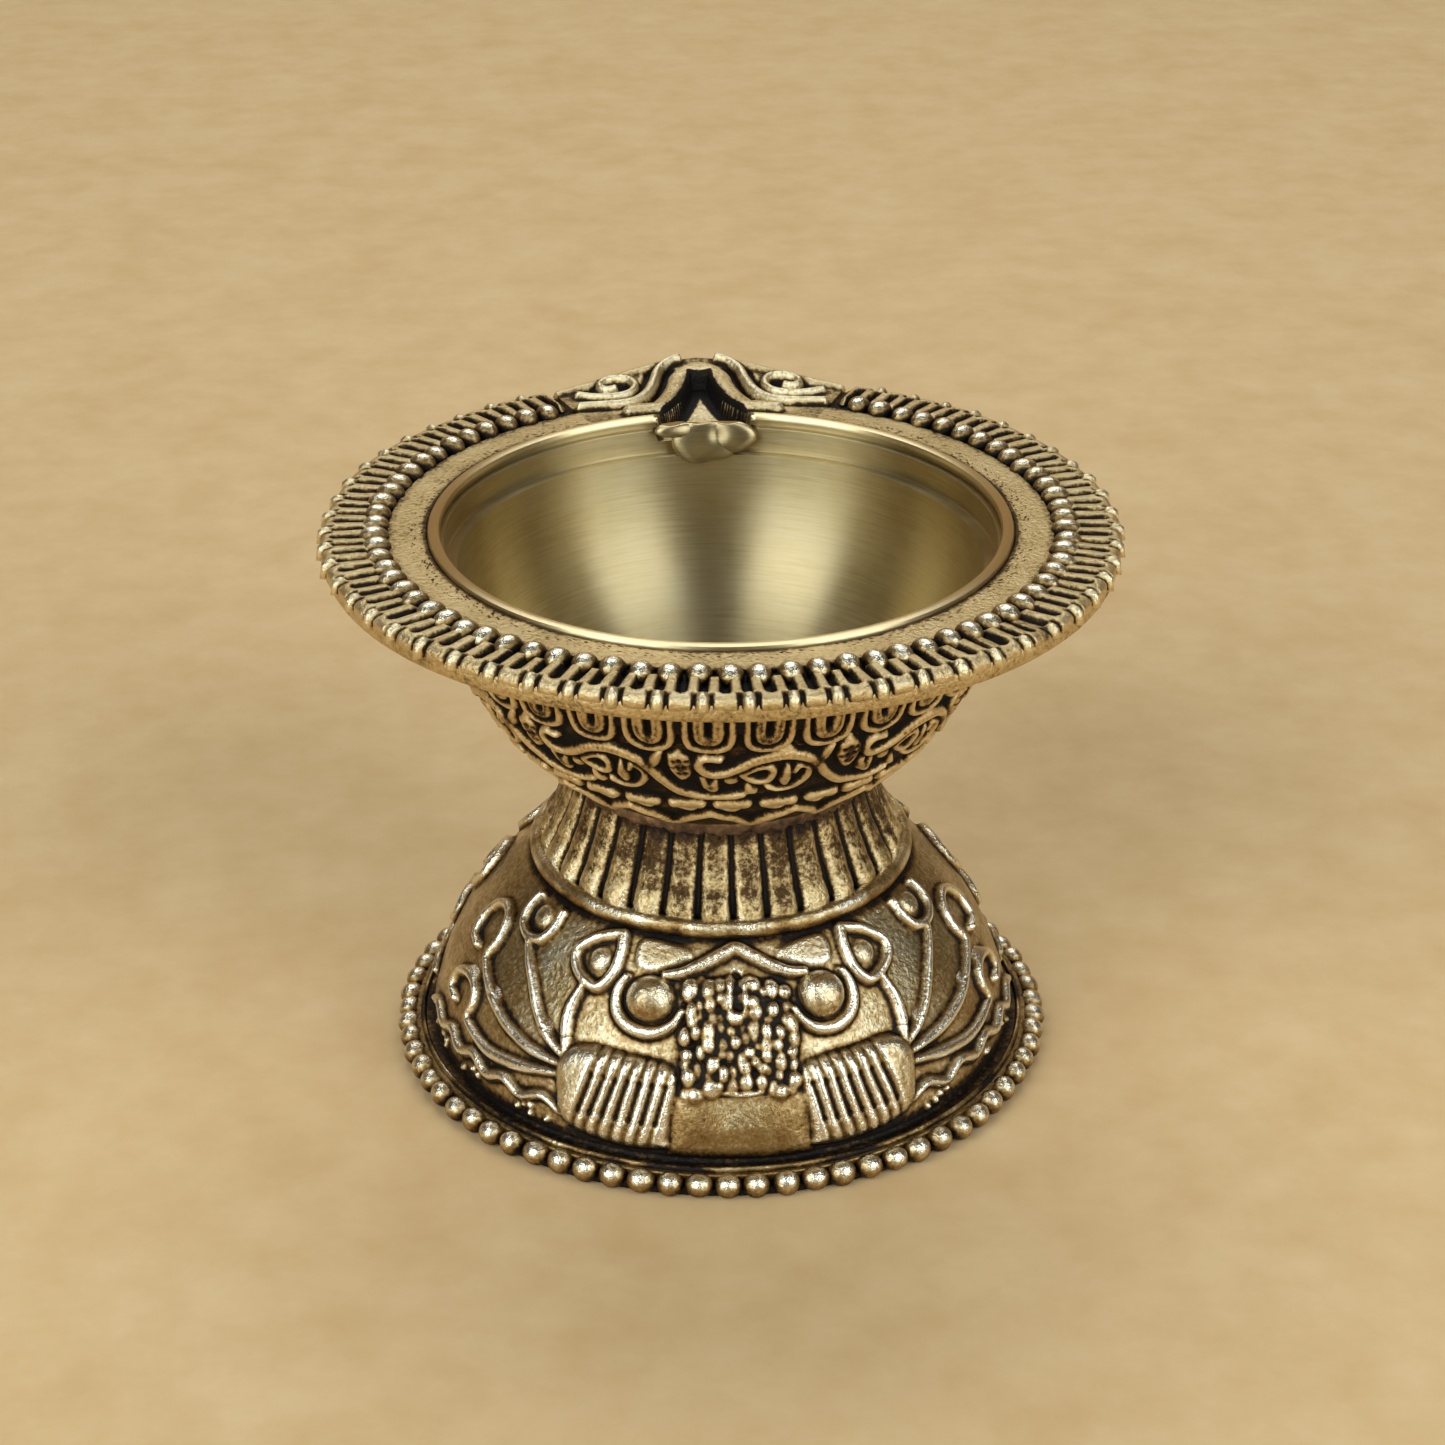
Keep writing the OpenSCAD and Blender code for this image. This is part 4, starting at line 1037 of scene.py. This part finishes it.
SCROLL_X, SCROLL_Y = 8.5, 31.7
wire_line = [(11.7, 27.5), (9.6, 27.7), (7.5, 28.0), (6.1, 28.9), (5.1, 30.4), (4.45, 32.4), (4.0, 34.2),
             (3.1, 35.4), (1.9, 36.1)]
wire_shade = [(x + 0.9, y + 0.35) for x, y in wire_line[2:8]]
groove = [(8.2, 26.8), (6.0, 27.2), (4.6, 28.8), (3.9, 30.8), (3.35, 32.8), (2.7, 34.6)]
curl = [(3.4, -1.2), (2.0, -1.8), (0.2, -2.0), (-1.5, -1.4), (-2.2, 0), (-1.7, 1.3), (-0.3, 1.8), (0.9, 1.3),
        (1.2, 0.3), (0.5, -0.4), (-0.3, -0.1)]
scroll = [(SCROLL_X + x, SCROLL_Y + y) for x, y in curl]
border = [(a, spout_edge(a) - 0.8 - SKIN_IN) for a in np.linspace(6, 23.5, 12)]
side_rib = [(6.9, 26.3), (5.7, 26.5)] + [channel_side(t, 1.2) for t in np.linspace(0.2, 0.8, 8)]
side_rib += [(1.1, 33.7)]
print("places on a rib:", len(side_rib))

# %% The spout's drawing
spout.height = np.where(SKIN_IN + spout.row < PLAIN_R, 0.45, 0.4)
for side in (-1, 1):
    spout.pit(*on_spout([(side * SCROLL_X, SCROLL_Y)])[0], 5.6, 0.55)
    spout.cut(on_spout(on_side(groove, side)), 0.9, 0.5)
    spout.cut(on_spout(on_side(wire_shade, side)), 0.7, 0.35)
    spout.line(on_spout(on_side(wire_line, side)), 1.35, 1.25, ends=0.6)
    spout.line(on_spout(on_side(scroll, side)), 1.05, 1.15, ends=0.6)
    spout.line(on_side(border, side), 1.6, 0.8, ends=0.8)
whole_rib = side_rib + [(0, 34.1)] + on_side(side_rib[::-1], -1)
spout.line(on_spout(whole_rib), 2.3, 1.3, ends=0.85)
share = channel_share(along)
channel = (np.abs(across) < channel_half(share)) & (along < CHANNEL_TIP - 1.5)
spout.height = np.where(channel, channel_floor(share) + 0.04 - SKIN_Z, spout.height)
spout.settle(reach=6, contrast=2.2, level=0.46)
# The channel's walls and the ground beside it are near black: patina and painted shade.
beside = (np.abs(across) < channel_half(share) + 0.5) & (along < CHANNEL_TIP - 1.2)
spout.patina_and_lighting = np.where(beside, 0.02, spout.patina_and_lighting)
spout.patina_and_lighting = np.where(channel, channel_patina_and_lighting(across, along), spout.patina_and_lighting)
print("spout drawing", spout.height.shape, "highest", round(float(spout.height.max()), 2))

# %% The spout's casting
bm = bmesh.new()
bmesh.ops.create_grid(bm, x_segments=260, y_segments=100, size=0.5)
raised = bmesh.ops.extrude_face_region(bm, geom=bm.faces[:])["geom"]
bmesh.ops.translate(bm, vec=(0, 0, 1), verts=[g for g in raised if isinstance(g, bmesh.types.BMVert)])
bmesh.ops.recalc_face_normals(bm, faces=bm.faces)
spout_cast = piece("wick_spout_cast", bm, rim_finish, ["wick_spout", "spout_ribs", "spout_scrolls"], 60)
grid = places(spout_cast) * MM
angle, share, on_top = 2 * SPOUT_SPAN * grid[:, 0], grid[:, 1] + 0.5, grid[:, 2] > 0.5
reach = SKIN_IN + (spout_edge(angle) - SKIN_IN) * share
height = spout.read(spout.height, angle, reach - SKIN_IN)
edge_round = np.sqrt(1 - (1 - rising(spout_edge(angle) - reach, 0.9)) ** 2)
top = SKIN_Z - 0.5 + (height + 0.5) * edge_round
across, along = reach * np.sin(np.radians(angle)), reach * np.cos(np.radians(angle))
top += TIP_LIFT * rising(along - 28.5, 8) ** 1.3 * np.exp(-((across / 10.5) ** 2))
set_places(spout_cast, np.stack([across, along, np.where(on_top, top, 48.9 + 0.3 * share)], 1))
worn = spout.read(spout.patina_and_lighting, angle, reach - SKIN_IN)
set_wear_and_lighting(spout_cast, np.where(share > 0.985, 0.5, worn))

# %% The drop of solder
DROP_X, DROP_Z, DROP_TOP = 0.9, 49.3, 51.3
bm = bmesh.new()
lobes = [(DROP_X - 0.9, 3.2, 2.2, DROP_Z + 0.1), (DROP_X + 1.3, 2.7, 1.6, DROP_Z + 0.6)]
lobes += [(DROP_X - 3.8, 1.9, 0.8, DROP_Z + 1.4)]
for x, wide, tall, z in lobes:
    verts = bmesh.ops.create_icosphere(bm, subdivisions=5, radius=1.0)["verts"]
    bmesh.ops.scale(bm, vec=(wide, 1.0, tall), verts=verts)
    bmesh.ops.translate(bm, vec=(x, 0, z), verts=verts)
for vert in bm.verts:
    x, y, z = vert.co
    z += 0.12 * math.sin(1.5 * x + 0.4) * (DROP_TOP - z) / 3
    dent = 0.2 * math.exp(-((x - DROP_X - 0.3) ** 2 + (z - DROP_Z - 0.9) ** 2) / 0.5)
    y = y * (1 - 0.25 * (z - DROP_Z) / 2) + (dent if y < 0 else 0)
    vert.co = (x, y + math.sqrt(INNER_R**2 - x**2) + 0.05, min(z, DROP_TOP + 0.06 * math.sin(2.3 * x)))
bmesh.ops.scale(bm, vec=(MM, MM, MM), verts=bm.verts)
piece("wick_rest_drop", bm, turned_finish, ["wick_rest"])

# %% [markdown]
# ## Stage, light and camera
# The lamp stands on plain pale paper that sweeps up behind it. Large soft lamps at both sides and above are
# what brass needs: it shows little but what it reflects. The camera stands where the photograph was taken,
# about 27 degrees above the table and a little to the left of the front.

# %% The paper
bm = bmesh.new()
curve = [(-2.5, 0.0), (0.9, 0.0)]
curve += [(0.9 + 0.5 * math.sin(t), 0.5 - 0.5 * math.cos(t)) for t in np.linspace(0.1, math.pi / 2, 10)]
curve += [(1.4, 2.2)]
row_of = [bm.verts.new((-2.5, y, z)) for y, z in curve]
strip = [bm.edges.new(pair) for pair in zip(row_of, row_of[1:])]
swept_paper = bmesh.ops.extrude_edge_only(bm, edges=strip)["geom"]
bmesh.ops.translate(bm, vec=(5, 0, 0), verts=[g for g in swept_paper if isinstance(g, bmesh.types.BMVert)])
bmesh.ops.recalc_face_normals(bm, faces=bm.faces)
paper_mesh = smooth_mesh("paper", bm)
paper = placed("paper", paper_mesh)
paper_finish, shade, place = new_finish("pale_paper")
fibre = shade.noise(place, 60.0, 8.0)
blotch = 0.5 * fibre + 0.5 * shade.noise(place, 160.0)
sheet_tone = blotch.ramp([(0.35, (216, 180, 127)), (0.65, (228, 196, 146))])
close_finish(shade, sheet_tone, 0.0, 0.9, fibre.bump(0.05, 0.5))
paper_mesh.materials.append(paper_finish)
print("paper:", len(paper_mesh.polygons), "faces")


# %% Lamps and world
DAYLIGHT = (0.9, 0.97, 1.0)


def soft_lamp(name, place, target, size, power):
    data = bpy.data.lights.new(name, "AREA")
    data.shape = "RECTANGLE"
    data.size, data.size_y = size
    data.energy = power
    data.color = DAYLIGHT
    lamp = placed(name, data)
    lamp.location = place
    lamp.rotation_euler = (Vector(target) - Vector(place)).to_track_quat("-Z", "Y").to_euler()
    print("lamp", name, power, "W")


soft_lamp("left_panel", (-0.614, -0.658, 0.52), (0, 0, 0.04), (0.72, 0.95), 7.8)
soft_lamp("right_panel", (0.64, -0.64, 0.5), (0, 0, 0.04), (0.7, 0.9), 6.6)
soft_lamp("top_panel", (0.0, 0.5, 0.85), (0, 0, 0.03), (0.8, 0.5), 3.6)
world = bpy.data.worlds.new("studio")
world.use_nodes = True
glow = world.node_tree.nodes["Background"].inputs
glow["Color"].default_value = (1.0, 0.97, 0.92, 1)
glow["Strength"].default_value = 0.1
bpy.context.scene.world = world

# %% The camera
ELEVATION, AZIMUTH, DISTANCE = math.radians(27.288), math.radians(-3.7), 0.2898
level = math.cos(ELEVATION)
to_camera = Vector((math.sin(AZIMUTH) * level, -math.cos(AZIMUTH) * level, math.sin(ELEVATION)))
right = Vector((math.cos(AZIMUTH), math.sin(AZIMUTH), 0))
target = right * 0.000147 + Vector((0, 0, 0.03137))
camera_data = bpy.data.cameras.new("camera")
camera_data.sensor_width = 36.0
camera_data.lens = 79.31
camera = placed("camera", camera_data)
camera.location = target + to_camera * DISTANCE
camera.rotation_euler = (-to_camera).to_track_quat("-Z", "Y").to_euler()
camera_data.clip_start = 0.01
bpy.context.scene.camera = camera
bpy.context.scene.view_settings.view_transform = "Standard"
print("camera at", [round(x, 4) for x in camera.location])
